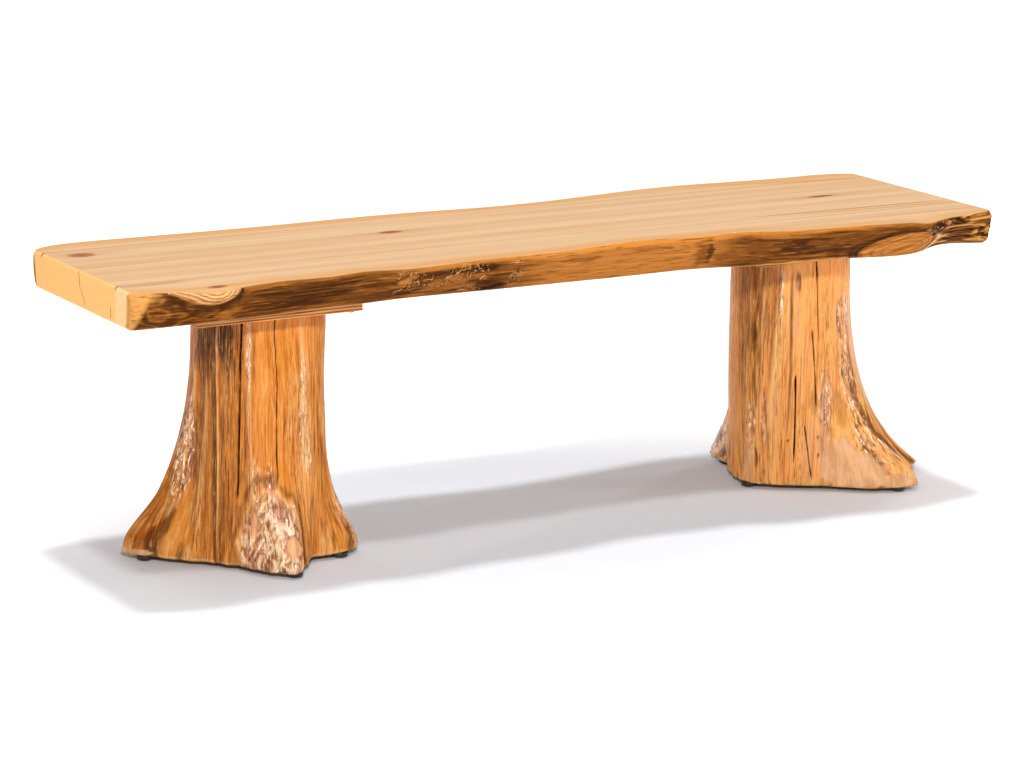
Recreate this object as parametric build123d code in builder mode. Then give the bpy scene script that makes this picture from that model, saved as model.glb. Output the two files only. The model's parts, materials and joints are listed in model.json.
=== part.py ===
"""Rustic log bench: a live-edge pine seat on two flared tree stumps with levelling glides.

Frame: origin on the floor under the middle of the seat, +X along the seat, +Y to the back, +Z up.
"""
from build123d import *

import os
from collections import namedtuple
from math import cos, exp, radians, sin

# ---------------------------------------------------------------- driving dimensions, in millimetres
# Seat
SEAT_LENGTH = 1524.0
SEAT_HEIGHT = 470.0
SEAT_THICKNESS = 57.0
END_EASE = 5.0               # rounding of the sawn ends, top and bottom
MIDDLE_BOARD_WIDTH = 277.0
MIDDLE_BOARD_Y = 22.0        # the front burl stands out, so the middle board lies behind the origin
EDGE_EASE = 7.0              # bevel of the live edge at the seat's top and bottom
BLANK_MARGIN = 6.0           # a live-edge blank stands this far over both sawn faces
ENVELOPE_ROOM = 40.0         # the sawn outline's tool clears the live edge by this much

# Mounting plates between seat and stumps
PLATE_LENGTH = 274.0
PLATE_THICKNESS = 12.0
PLATE_SEAM_LAP = 21.5        # the plate laps past each glue seam by this much
PLATE_CORNER = 3.0

# Stumps
STUMP_Y = 0.0
LEFT_STUMP_INSET = 286.0     # seat end to stump axis
RIGHT_STUMP_INSET = 263.0
LEFT_PLATE_OFFSET = -30.0    # stump axis to plate centre, along X
RIGHT_PLATE_OFFSET = -17.0
FLARE_LEVELS = (0, 0.07, 0.18, 0.33, 0.53, 0.76, 1)  # stump sections, as shares of its height
CORNER_ANGLE = 15.0          # the round trunk is drawn with straight sides, about this wide

CHECK_OVERCUT = 8.0          # a check's cutting wedge runs this far past the bark and past its top

# Levelling glides: a threaded stud with a hexagon head, moulded into a plastic pad
GLIDE_PAD_RADIUS = 12.5
GLIDE_PAD_HEIGHT = 8.5
GLIDE_PAD_BEVEL = 3.0        # the pad's lower edge leans in by this much
GLIDE_PAD_BEVEL_HEIGHT = 4.5
GLIDE_STOP_GAP = 0.3         # pad to wood when the glide is screwed right in
GLIDE_STEM_RADIUS = 4.0
GLIDE_STEM_LENGTH = 24.0     # above the pad
GLIDE_HEAD_RADIUS = 6.5      # of the stud's head, across its corners
GLIDE_HEAD_HEIGHT = 4.0
GLIDE_HEAD_SIDES = 6         # hexagon
INSERT_RADIUS = 6.35
INSERT_LENGTH = 25.0
STEM_END_ROOM = 2.0
ROUND_SIDES = 24             # pads, studs and inserts are round, and drawn with this many sides

# Screws. They and their pilot bores are round on the real bench, and eight-sided here to stay light.
SCREW_SIDES = 8
SCREW_SHANK_RADIUS = 2.5
SCREW_HEAD_RADIUS = 5.0
SCREW_HEAD_HEIGHT = 3.0
STUMP_SCREW_LENGTH = 75.0
STUMP_SCREW_CIRCLE = 62.0    # radius of the ring of screws round the stump axis
STUMP_SCREW_COUNT = 4
STUMP_SCREW_START = 45.0     # azimuth of the first one
SEAT_SCREW_LENGTH = 32.0
SEAT_SCREW_SEAM_OFFSET = 10.0  # seam to screw row
SEAT_SCREW_END_INSET = 15.0    # plate end to the outer screws

# Clearances
BORE_CLEARANCE = 0.05        # radial, of each screw, insert and stem in its bore
TIP_ROOM = 1.0               # empty bore past a screw's tip

# ---------------------------------------------------------------- levels and places that follow
SEAT_UNDERSIDE = SEAT_HEIGHT - SEAT_THICKNESS
SEAT_MIDDLE_Z = SEAT_HEIGHT - SEAT_THICKNESS / 2
FRONT_SEAM_Y = MIDDLE_BOARD_Y - MIDDLE_BOARD_WIDTH / 2
BACK_SEAM_Y = MIDDLE_BOARD_Y + MIDDLE_BOARD_WIDTH / 2
STUMP_TOP = SEAT_UNDERSIDE - PLATE_THICKNESS
STUMP_FOOT = GLIDE_PAD_HEIGHT + GLIDE_STOP_GAP
STUMP_HEIGHT = STUMP_TOP - STUMP_FOOT
PLATE_DEPTH = MIDDLE_BOARD_WIDTH + 2 * PLATE_SEAM_LAP
SCREW_ROW_SPACING = MIDDLE_BOARD_WIDTH + 2 * SEAT_SCREW_SEAM_OFFSET
SCREW_COLUMN_SPACING = PLATE_LENGTH - 2 * SEAT_SCREW_END_INSET

# Live edges. along: place on the seat, -1 at the left end and 1 at the right end. reach: seam to the
# top of the edge. undercut: how far the bottom lies back from the top. belly: how far the face bulges.
EdgeStation = namedtuple("EdgeStation", "along reach undercut belly")

FRONT_EDGE = (
    EdgeStation(-1.00, 46, 4, 3),
    EdgeStation(-0.96, 63, 17, 5),
    EdgeStation(-0.90, 77, 31, 7),
    EdgeStation(-0.84, 84, 39, 7),     # knot lobe
    EdgeStation(-0.79, 81, 38, 5),
    EdgeStation(-0.74, 74, 33, 3),
    EdgeStation(-0.60, 72, 40, 4),
    EdgeStation(-0.47, 67, 40, 5),
    EdgeStation(-0.38, 74, 52, 6),
    EdgeStation(-0.30, 66, 42, 5),
    EdgeStation(-0.14, 63, 34, 5),
    EdgeStation(0.02, 53, 21, 4),
    EdgeStation(0.16, 44, 12, 3),
    EdgeStation(0.34, 54, 12, 3),
    EdgeStation(0.46, 79, 17, 4),
    EdgeStation(0.60, 91, 22, 5),
    EdgeStation(0.70, 102, 16, 4),
    EdgeStation(0.79, 110, 24, 3),     # burl
    EdgeStation(0.86, 104, 46, 2),
    EdgeStation(0.94, 92, 44, 4),
    EdgeStation(1.00, 72, 10, 4),
)

BACK_EDGE = (
    EdgeStation(-1.00, 29, 5, 2),
    EdgeStation(-0.95, 53, 6, 3),
    EdgeStation(-0.86, 59, 8, 3),
    EdgeStation(-0.72, 55, 8, 3),
    EdgeStation(-0.45, 50, 9, 4),
    EdgeStation(-0.15, 50, 8, 4),
    EdgeStation(0.06, 36, 6, 3),
    EdgeStation(0.28, 47, 8, 4),
    EdgeStation(0.50, 66, 10, 4),
    EdgeStation(0.68, 58, 9, 4),
    EdgeStation(0.84, 49, 8, 3),
    EdgeStation(1.00, 26, 5, 2),
)

# Roots. azimuth: degrees from +X. reach: how far the root stands out from the trunk at the foot, and
# below 0 a hollow between roots. spread: half width in degrees. rise: height where about a third of
# the reach is left. shoulder: 1 is a hollow flare, 2 a bell and 3 a round boss.
Root = namedtuple("Root", "azimuth reach spread rise shoulder")
# Drying checks. azimuth, lowest and highest level above the foot, width at the bark, depth.
Check = namedtuple("Check", "azimuth low high width depth")
# Glides. corner: its name. azimuth and distance from the stump axis.
Glide = namedtuple("Glide", "corner azimuth distance")
Stump = namedtuple("Stump", "side x plate_x radius roots checks glides")

LEFT_STUMP = Stump(
    side="left",
    x=-SEAT_LENGTH / 2 + LEFT_STUMP_INSET,
    plate_x=-SEAT_LENGTH / 2 + LEFT_STUMP_INSET + LEFT_PLATE_OFFSET,
    radius=99.0,
    roots=(
        Root(158, 120, 13, 138, 1.2),
        Root(195, 12, 16, 90, 1.3),
        Root(265, 55, 13.5, 100, 2.4),
        Root(300, -10, 12, 90, 2.0),
        Root(342, 58, 20, 78, 1.35),
        Root(72, 66, 20, 110, 1.3),
    ),
    checks=(
        Check(226, 100, STUMP_HEIGHT, 4.0, 22),
        Check(259.5, 130, STUMP_HEIGHT, 2.0, 16),
    ),
    glides=(
        Glide("outer", 162, 178),
        Glide("front", 267, 135),
        Glide("inner", 326, 124),
        Glide("back", 72, 140),
    ),
)

RIGHT_STUMP = Stump(
    side="right",
    x=SEAT_LENGTH / 2 - RIGHT_STUMP_INSET,
    plate_x=SEAT_LENGTH / 2 - RIGHT_STUMP_INSET + RIGHT_PLATE_OFFSET,
    radius=97.5,
    roots=(
        Root(102, 84, 7, 115, 1.3),
        Root(162, -7, 14, 100, 2.0),
        Root(235, -18, 30, 90, 1.5),
        Root(313, 138, 15, 105, 1.3),
        Root(352, 159, 12, 119, 1.0),
    ),
    checks=(
        Check(265, 135, STUMP_HEIGHT, 3.0, 20),
        Check(245.5, 40, 180, 3.0, 20),
    ),
    glides=(
        Glide("front", 310, 196),
        Glide("inner", 187, 78),
        Glide("back", 101, 138),
    ),
)

STUMPS = (LEFT_STUMP, RIGHT_STUMP)

os.makedirs("parts", exist_ok=True)


def save(name, part):
    """Label a finished piece and write its STEP file."""
    part.label = name
    export_step(part, f"parts/{name}.step")


# ---------------------------------------------------------------- seat
def live_edge_profile(station, seam_y, side):
    """Cross-section of a live-edge blank in the YZ plane. side is -1 at the front, 1 at the back."""
    top_z = SEAT_HEIGHT
    bottom_z = SEAT_UNDERSIDE
    top_y = seam_y + side * station.reach
    bottom_y = top_y - side * station.undercut
    middle_y = (top_y + bottom_y) / 2 + side * (station.belly + EDGE_EASE)
    return (
        (top_y - side * BLANK_MARGIN, top_z + BLANK_MARGIN),
        (top_y + side * EDGE_EASE, top_z - EDGE_EASE),
        (middle_y, (top_z + bottom_z) / 2),
        (bottom_y + side * EDGE_EASE, bottom_z + EDGE_EASE),
        (bottom_y - side * BLANK_MARGIN, bottom_z - BLANK_MARGIN),
    )


def seat_screw_bores():
    """Pilot bores in the seat's underside for every seat screw."""
    depth = SEAT_SCREW_LENGTH - PLATE_THICKNESS + TIP_ROOM
    with BuildPart() as bores:
        for stump in STUMPS:
            with BuildSketch(Plane.XY.offset(SEAT_UNDERSIDE)):
                with Locations((stump.plate_x, MIDDLE_BOARD_Y)):
                    with GridLocations(SCREW_COLUMN_SPACING, SCREW_ROW_SPACING, 2, 2):
                        RegularPolygon(SCREW_SHANK_RADIUS + BORE_CLEARANCE, SCREW_SIDES)
            extrude(amount=depth)
    return bores.part


def seat_envelope(near_y, far_y):
    """The seat's sawn outline with eased ends, between two levels of Y."""
    with BuildPart() as envelope:
        with BuildSketch(Plane.XZ.offset(-far_y)):
            with Locations((0, SEAT_MIDDLE_Z)):
                RectangleRounded(SEAT_LENGTH, SEAT_THICKNESS, END_EASE)
        extrude(amount=far_y - near_y)
    return envelope.part


UNDERSIDE_BORES = seat_screw_bores()


def live_edge_board(stations, seam_y, side):
    """One outer board: lofted live edge, sawn top, underside, ends and seam."""
    far_y = seam_y + side * (max(station.reach for station in stations) + ENVELOPE_ROOM)
    with BuildPart() as board:
        for station in stations:
            with BuildSketch(Plane.YZ.offset(station.along * SEAT_LENGTH / 2)):
                with BuildLine():
                    edge = live_edge_profile(station, seam_y, side)
                    inside_y = seam_y - side * BLANK_MARGIN
                    Polyline(*edge, (inside_y, edge[-1][1]), (inside_y, edge[0][1]), close=True)
                make_face()
        loft()
        add(seat_envelope(min(seam_y, far_y), max(seam_y, far_y)), mode=Mode.INTERSECT)
        add(UNDERSIDE_BORES, mode=Mode.SUBTRACT)
    return board.part


save("seat_board_front", live_edge_board(FRONT_EDGE, FRONT_SEAM_Y, -1))
save("seat_board_back", live_edge_board(BACK_EDGE, BACK_SEAM_Y, 1))

with BuildPart() as seat_board_middle:
    add(seat_envelope(FRONT_SEAM_Y, BACK_SEAM_Y))
    add(UNDERSIDE_BORES, mode=Mode.SUBTRACT)
save("seat_board_middle", seat_board_middle.part)


# ---------------------------------------------------------------- stumps
def root_radius(stump, azimuth, level):
    """Distance from the stump's axis to the bark, level being the height above the sawn foot."""
    radius = stump.radius
    for root in stump.roots:
        turn = (azimuth - root.azimuth + 180) % 360 - 180
        fall = exp(-(level / root.rise) ** root.shoulder)
        radius += root.reach * fall * exp(-(turn / root.spread) ** 2 / 2)
    return radius


def polar_place(stump, azimuth, distance):
    """Point in plan at a distance and azimuth from the stump's axis."""
    x = stump.x + distance * cos(radians(azimuth))
    y = STUMP_Y + distance * sin(radians(azimuth))
    return (x, y)


def corner_azimuths(stump):
    """Azimuths of the outline's corners: one on each root's ridge, the rest evenly between."""
    ridges = sorted(root.azimuth for root in stump.roots)
    corners = []
    for ridge, following in zip(ridges, ridges[1:] + [ridges[0] + 360]):
        sides = max(1, round((following - ridge) / CORNER_ANGLE))
        corners += [ridge + (following - ridge) * side / sides for side in range(sides)]
    return corners


def stump_section(stump, level):
    """Corners of the trunk's outline at one level."""
    azimuths = corner_azimuths(stump)
    return [polar_place(stump, azimuth, root_radius(stump, azimuth, level)) for azimuth in azimuths]


def check_cut(stump, check):
    """Wedge of a drying check, widest at the bark."""
    wall = stump.radius + CHECK_OVERCUT
    apex = stump.radius - check.depth
    with BuildPart() as wedge:
        with BuildSketch(Plane.XY.offset(STUMP_FOOT + check.low)):
            with Locations(Location((stump.x, STUMP_Y, 0), (0, 0, check.azimuth))):
                Polygon((apex, 0), (wall, -check.width / 2), (wall, check.width / 2), align=None)
        extrude(amount=check.high - check.low + CHECK_OVERCUT)
    return wedge.part


def glide_bores(stump):
    """Bores in the foot for the threaded inserts, with room past each stem's end."""
    with BuildPart() as bores:
        with BuildSketch(Plane.XY.offset(STUMP_FOOT)):
            for glide in stump.glides:
                with Locations(polar_place(stump, glide.azimuth, glide.distance)):
                    RegularPolygon(INSERT_RADIUS + BORE_CLEARANCE, ROUND_SIDES)
        extrude(amount=INSERT_LENGTH + STEM_END_ROOM)
    return bores.part


def stump_screw_bores(stump):
    """Pilot bores in the stump's top for the plate's screws."""
    depth = STUMP_SCREW_LENGTH - PLATE_THICKNESS + TIP_ROOM
    with BuildPart() as bores:
        with BuildSketch(Plane.XY.offset(STUMP_TOP)):
            with Locations((stump.x, STUMP_Y)):
                with PolarLocations(STUMP_SCREW_CIRCLE, STUMP_SCREW_COUNT, STUMP_SCREW_START):
                    RegularPolygon(SCREW_SHANK_RADIUS + BORE_CLEARANCE, SCREW_SIDES)
        extrude(amount=-depth)
    return bores.part


for stump in STUMPS:
    with BuildPart() as stump_body:
        for share in FLARE_LEVELS:
            flare_level = share * STUMP_HEIGHT
            with BuildSketch(Plane.XY.offset(STUMP_FOOT + flare_level)):
                with BuildLine():
                    Polyline(*stump_section(stump, flare_level), close=True)
                make_face()
        loft()
        for check in stump.checks:
            add(check_cut(stump, check), mode=Mode.SUBTRACT)
        add(glide_bores(stump), mode=Mode.SUBTRACT)
        add(stump_screw_bores(stump), mode=Mode.SUBTRACT)
    save(f"stump_{stump.side}", stump_body.part)

# ---------------------------------------------------------------- mounting plates and their screws
for stump in STUMPS:
    with BuildPart() as mounting_plate:
        with BuildSketch(Plane.XY.offset(STUMP_TOP)):
            with Locations((stump.plate_x, MIDDLE_BOARD_Y)):
                RectangleRounded(PLATE_LENGTH, PLATE_DEPTH, PLATE_CORNER)
                with GridLocations(SCREW_COLUMN_SPACING, SCREW_ROW_SPACING, 2, 2):
                    RegularPolygon(SCREW_SHANK_RADIUS + BORE_CLEARANCE, SCREW_SIDES, mode=Mode.SUBTRACT)
            with Locations((stump.x, STUMP_Y)):
                with PolarLocations(STUMP_SCREW_CIRCLE, STUMP_SCREW_COUNT, STUMP_SCREW_START):
                    RegularPolygon(SCREW_SHANK_RADIUS + BORE_CLEARANCE, SCREW_SIDES, mode=Mode.SUBTRACT)
        extrude(amount=PLATE_THICKNESS)
        # Counterbores that let the stump screws' heads lie flush under the seat
        with BuildSketch(Plane.XY.offset(SEAT_UNDERSIDE)):
            with Locations((stump.x, STUMP_Y)):
                with PolarLocations(STUMP_SCREW_CIRCLE, STUMP_SCREW_COUNT, STUMP_SCREW_START):
                    RegularPolygon(SCREW_HEAD_RADIUS + BORE_CLEARANCE, SCREW_SIDES)
        extrude(amount=-SCREW_HEAD_HEIGHT, mode=Mode.SUBTRACT)
    save(f"mounting_plate_{stump.side}", mounting_plate.part)

    # Wood screws down through the plate into the stump
    with BuildPart() as stump_screws:
        with BuildSketch(Plane.XY.offset(SEAT_UNDERSIDE)):
            with Locations((stump.x, STUMP_Y)):
                with PolarLocations(STUMP_SCREW_CIRCLE, STUMP_SCREW_COUNT, STUMP_SCREW_START):
                    RegularPolygon(SCREW_HEAD_RADIUS, SCREW_SIDES)
        extrude(amount=-SCREW_HEAD_HEIGHT)
        with BuildSketch(Plane.XY.offset(SEAT_UNDERSIDE)):
            with Locations((stump.x, STUMP_Y)):
                with PolarLocations(STUMP_SCREW_CIRCLE, STUMP_SCREW_COUNT, STUMP_SCREW_START):
                    RegularPolygon(SCREW_SHANK_RADIUS, SCREW_SIDES)
        extrude(amount=-STUMP_SCREW_LENGTH)
    save(f"stump_screws_{stump.side}", stump_screws.part)

    # Wood screws up through the plate into the seat, with their heads below the plate
    with BuildPart() as seat_screws:
        with BuildSketch(Plane.XY.offset(STUMP_TOP)):
            with Locations((stump.plate_x, MIDDLE_BOARD_Y)):
                with GridLocations(SCREW_COLUMN_SPACING, SCREW_ROW_SPACING, 2, 2):
                    RegularPolygon(SCREW_HEAD_RADIUS, SCREW_SIDES)
        extrude(amount=-SCREW_HEAD_HEIGHT)
        with BuildSketch(Plane.XY.offset(STUMP_TOP)):
            with Locations((stump.plate_x, MIDDLE_BOARD_Y)):
                with GridLocations(SCREW_COLUMN_SPACING, SCREW_ROW_SPACING, 2, 2):
                    RegularPolygon(SCREW_SHANK_RADIUS, SCREW_SIDES)
        extrude(amount=SEAT_SCREW_LENGTH)
    save(f"seat_screws_{stump.side}", seat_screws.part)

# ---------------------------------------------------------------- levelling glides and their inserts
for stump in STUMPS:
    with BuildPart() as glide_inserts:
        with BuildSketch(Plane.XY.offset(STUMP_FOOT)):
            for glide in stump.glides:
                with Locations(polar_place(stump, glide.azimuth, glide.distance)):
                    RegularPolygon(INSERT_RADIUS, ROUND_SIDES)
                    RegularPolygon(GLIDE_STEM_RADIUS + BORE_CLEARANCE, ROUND_SIDES, mode=Mode.SUBTRACT)
        extrude(amount=INSERT_LENGTH)
    save(f"glide_inserts_{stump.side}", glide_inserts.part)

    for glide in stump.glides:
        glide_place = polar_place(stump, glide.azimuth, glide.distance)
        with BuildPart() as glide_pad:
            with BuildSketch(Plane.XY):
                with Locations(glide_place):
                    RegularPolygon(GLIDE_PAD_RADIUS, ROUND_SIDES)
            extrude(amount=GLIDE_PAD_HEIGHT)
            sole = glide_pad.faces().sort_by(Axis.Z)[0]
            chamfer(sole.edges(), GLIDE_PAD_BEVEL, GLIDE_PAD_BEVEL_HEIGHT, reference=sole)
            with BuildSketch(Plane.XY.offset(GLIDE_PAD_HEIGHT)):
                with Locations(glide_place):
                    RegularPolygon(GLIDE_HEAD_RADIUS + BORE_CLEARANCE, GLIDE_HEAD_SIDES)
            extrude(amount=-GLIDE_HEAD_HEIGHT, mode=Mode.SUBTRACT)
        save(f"glide_pad_{stump.side}_{glide.corner}", glide_pad.part)

        with BuildPart() as glide_stem:
            with BuildSketch(Plane.XY.offset(GLIDE_PAD_HEIGHT)):
                with Locations(glide_place):
                    RegularPolygon(GLIDE_HEAD_RADIUS, GLIDE_HEAD_SIDES)
            extrude(amount=-GLIDE_HEAD_HEIGHT)
            with BuildSketch(Plane.XY.offset(GLIDE_PAD_HEIGHT)):
                with Locations(glide_place):
                    RegularPolygon(GLIDE_STEM_RADIUS, ROUND_SIDES)
            extrude(amount=GLIDE_STEM_LENGTH)
        save(f"glide_stem_{stump.side}_{glide.corner}", glide_stem.part)
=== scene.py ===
"""Looks of the rustic log bench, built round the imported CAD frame. Metres, +X along the seat, +Z up."""

import json
from collections import namedtuple
from math import cos, pi, radians, sin

import bpy
import numpy as np
from mathutils import Matrix, Vector
from mathutils.bvhtree import BVHTree

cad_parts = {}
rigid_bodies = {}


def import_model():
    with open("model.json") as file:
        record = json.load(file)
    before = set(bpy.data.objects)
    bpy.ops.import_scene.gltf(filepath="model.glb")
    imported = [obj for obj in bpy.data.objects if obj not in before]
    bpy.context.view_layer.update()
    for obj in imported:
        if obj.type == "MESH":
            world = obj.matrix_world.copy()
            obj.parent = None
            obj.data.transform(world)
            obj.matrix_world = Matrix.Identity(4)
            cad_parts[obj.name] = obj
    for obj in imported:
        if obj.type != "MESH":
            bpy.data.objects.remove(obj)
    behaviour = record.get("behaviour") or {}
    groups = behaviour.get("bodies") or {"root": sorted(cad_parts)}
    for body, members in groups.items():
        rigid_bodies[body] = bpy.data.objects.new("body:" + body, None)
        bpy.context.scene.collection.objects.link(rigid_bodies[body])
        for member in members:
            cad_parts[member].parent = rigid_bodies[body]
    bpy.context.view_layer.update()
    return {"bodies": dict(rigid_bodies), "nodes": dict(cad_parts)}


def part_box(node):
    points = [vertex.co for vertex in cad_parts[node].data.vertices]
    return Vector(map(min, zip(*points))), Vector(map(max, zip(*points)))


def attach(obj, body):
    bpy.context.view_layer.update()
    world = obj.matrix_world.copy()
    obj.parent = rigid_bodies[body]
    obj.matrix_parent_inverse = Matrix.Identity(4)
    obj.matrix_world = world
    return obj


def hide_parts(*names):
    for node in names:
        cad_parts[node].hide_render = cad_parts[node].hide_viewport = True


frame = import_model()
scene = bpy.context.scene

MM = 0.001

# ---------------------------------------------------------------- places read from the frame
SEAT_LOW, SEAT_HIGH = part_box("seat_board_middle")
SEAT_END = SEAT_HIGH.x
TOP = SEAT_HIGH.z
UNDERSIDE = SEAT_LOW.z
THICKNESS = TOP - UNDERSIDE
FRONT_SEAM = SEAT_LOW.y
BACK_SEAM = SEAT_HIGH.y
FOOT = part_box("stump_left")[0].z
STUMP_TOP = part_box("stump_left")[1].z
STUMP_HEIGHT = STUMP_TOP - FOOT

# ---------------------------------------------------------------- camera, at the photograph's viewpoint
CAMERA_PLACE = (-2.7480, -4.6879, 1.5070)
CAMERA_YAW = 0.5254
CAMERA_PITCH = 0.2329
CAMERA_ROLL = 0.0114
CAMERA_LENS = 123.05
SENSOR_WIDTH = 36
VIEW_START = 0.1
VIEW_END = 60


def make_camera():
    """Camera that looks along yaw and pitch, rolled a little, as the photograph's did."""
    forward = Vector((
        sin(CAMERA_YAW) * cos(CAMERA_PITCH),
        cos(CAMERA_YAW) * cos(CAMERA_PITCH),
        -sin(CAMERA_PITCH),
    ))
    level = Vector((cos(CAMERA_YAW), -sin(CAMERA_YAW), 0))
    upright = level.cross(forward)
    right = cos(CAMERA_ROLL) * level + sin(CAMERA_ROLL) * upright
    up = cos(CAMERA_ROLL) * upright - sin(CAMERA_ROLL) * level
    data = bpy.data.cameras.new("photo_camera")
    data.lens = CAMERA_LENS
    data.sensor_width = SENSOR_WIDTH
    data.clip_start = VIEW_START
    data.clip_end = VIEW_END
    camera = bpy.data.objects.new("photo_camera", data)
    scene.collection.objects.link(camera)
    turn = Matrix((right, up, -forward)).transposed()
    camera.matrix_world = Matrix.Translation(CAMERA_PLACE) @ turn.to_4x4()
    scene.camera = camera


# ---------------------------------------------------------------- light and floor
Lamp = namedtuple("Lamp", "name azimuth elevation distance width height power")
LAMPS = (
    Lamp("key_light", 240, 26, 4.5, 0.28, 0.28, 134),
    Lamp("right_strip", 20, 12, 3.2, 0.05, 0.60, 17),
    Lamp("right_lamp", 20, 52, 3.2, 0.12, 0.12, 5),
    Lamp("front_strip", 330, 12, 3.4, 0.05, 0.60, 14),
    Lamp("left_strip", 100, 14, 3.2, 0.05, 0.50, 12),
    Lamp("left_lamp", 100, 50, 3.2, 0.12, 0.12, 4),
)
LIGHT_AIM = Vector((0, 0, 0.25))
# Far lights that throw the two edges of the floor shadow
Sun = namedtuple("Sun", "name azimuth elevation spread strength")
SUNS = (
    Sun("ceiling_light", 62, 86, 6, 1.80),
    Sun("front_light", 245, 68, 5, 0.85),
)
SUN_DISTANCE = 4
WHITE = (1, 1, 1, 1)
SKY_STRENGTH = 0.25    # of the surroundings from about 40 degrees up
SKY_RISE = 0.65        # sine of the angle from which they have it
WALL_STRENGTH = 0.10   # of the surroundings at the horizon

FLOOR_HALF = 30
# Painted shade: the floor is greyer under and round the bench, to deepen the bench's shadow there
FLOOR_SHADE_GREY = (0.63, 0.66, 0.71, 1)  # colour under and round the bench
FLOOR_OVAL = (1, 1.8, 1)            # how much each axis counts in the distance from the bench
FLOOR_FADE = (0.5, 1.25)            # distances between which the floor turns white


def aim(light, azimuth, elevation, distance):
    """Place a light at a distance from the bench, facing it."""
    turn = radians(azimuth)
    rise = radians(elevation)
    toward = Vector((cos(turn) * cos(rise), sin(turn) * cos(rise), sin(rise)))
    light.location = LIGHT_AIM + toward * distance
    light.rotation_euler = toward.to_track_quat("Z", "Y").to_euler()
    scene.collection.objects.link(light)


def make_lights():
    """White overhead light, a key from the front and small lamps that draw glints in the varnish."""
    world = bpy.data.worlds.new("studio")
    world.use_nodes = True
    tree = world.node_tree
    direction = tree.nodes.new("ShaderNodeTexCoord").outputs["Generated"]
    rise = tree.nodes.new("ShaderNodeSeparateXYZ")
    tree.links.new(direction, rise.inputs[0])
    ramp = tree.nodes.new("ShaderNodeMapRange")
    for socket, value in zip(ramp.inputs[1:5], (0.0, SKY_RISE, WALL_STRENGTH, SKY_STRENGTH)):
        socket.default_value = value
    tree.links.new(rise.outputs[2], ramp.inputs[0])
    tree.nodes["Background"].inputs["Color"].default_value = WHITE
    tree.links.new(ramp.outputs[0], tree.nodes["Background"].inputs["Strength"])
    scene.world = world
    scene.view_settings.view_transform = "Standard"
    for lamp in LAMPS:
        data = bpy.data.lights.new(lamp.name, "AREA")
        data.shape = "RECTANGLE"
        data.size = lamp.width
        data.size_y = lamp.height
        data.energy = lamp.power
        aim(bpy.data.objects.new(lamp.name, data), lamp.azimuth, lamp.elevation, lamp.distance)
    for sun in SUNS:
        data = bpy.data.lights.new(sun.name, "SUN")
        data.angle = radians(sun.spread)
        data.energy = sun.strength
        aim(bpy.data.objects.new(sun.name, data), sun.azimuth, sun.elevation, SUN_DISTANCE)


def make_floor():
    """Plain pale floor, far wider than the view and whiter far off, where less light reaches it. Its grey
    under and round the bench is painted shade that deepens the bench's shadow.
    """
    corners = [(x * FLOOR_HALF, y * FLOOR_HALF, 0) for x, y in ((-1, -1), (1, -1), (1, 1), (-1, 1))]
    mesh = bpy.data.meshes.new("floor")
    mesh.from_pydata(corners, [], [(0, 1, 2, 3)])
    floor = bpy.data.objects.new("floor", mesh)
    scene.collection.objects.link(floor)
    surface = Graph("floor_paper")
    surface.set(roughness=0.9, specular=0.0)
    away = surface.length(surface.stretched(surface.place(), FLOOR_OVAL))
    # Painted shade: grey under and round the bench, white further off
    surface.drive("Base Color", surface.mix(surface.span(away, *FLOOR_FADE), FLOOR_SHADE_GREY, WHITE))
    mesh.materials.append(surface.material)


# ---------------------------------------------------------------- materials
def srgb(red, green, blue):
    """Linear colour of a display colour given from 0 to 255."""
    display = np.array([red, green, blue]) / 255
    linear = np.where(display <= 0.04045, display / 12.92, ((display + 0.055) / 1.055) ** 2.4)
    return (*linear.tolist(), 1.0)


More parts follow.
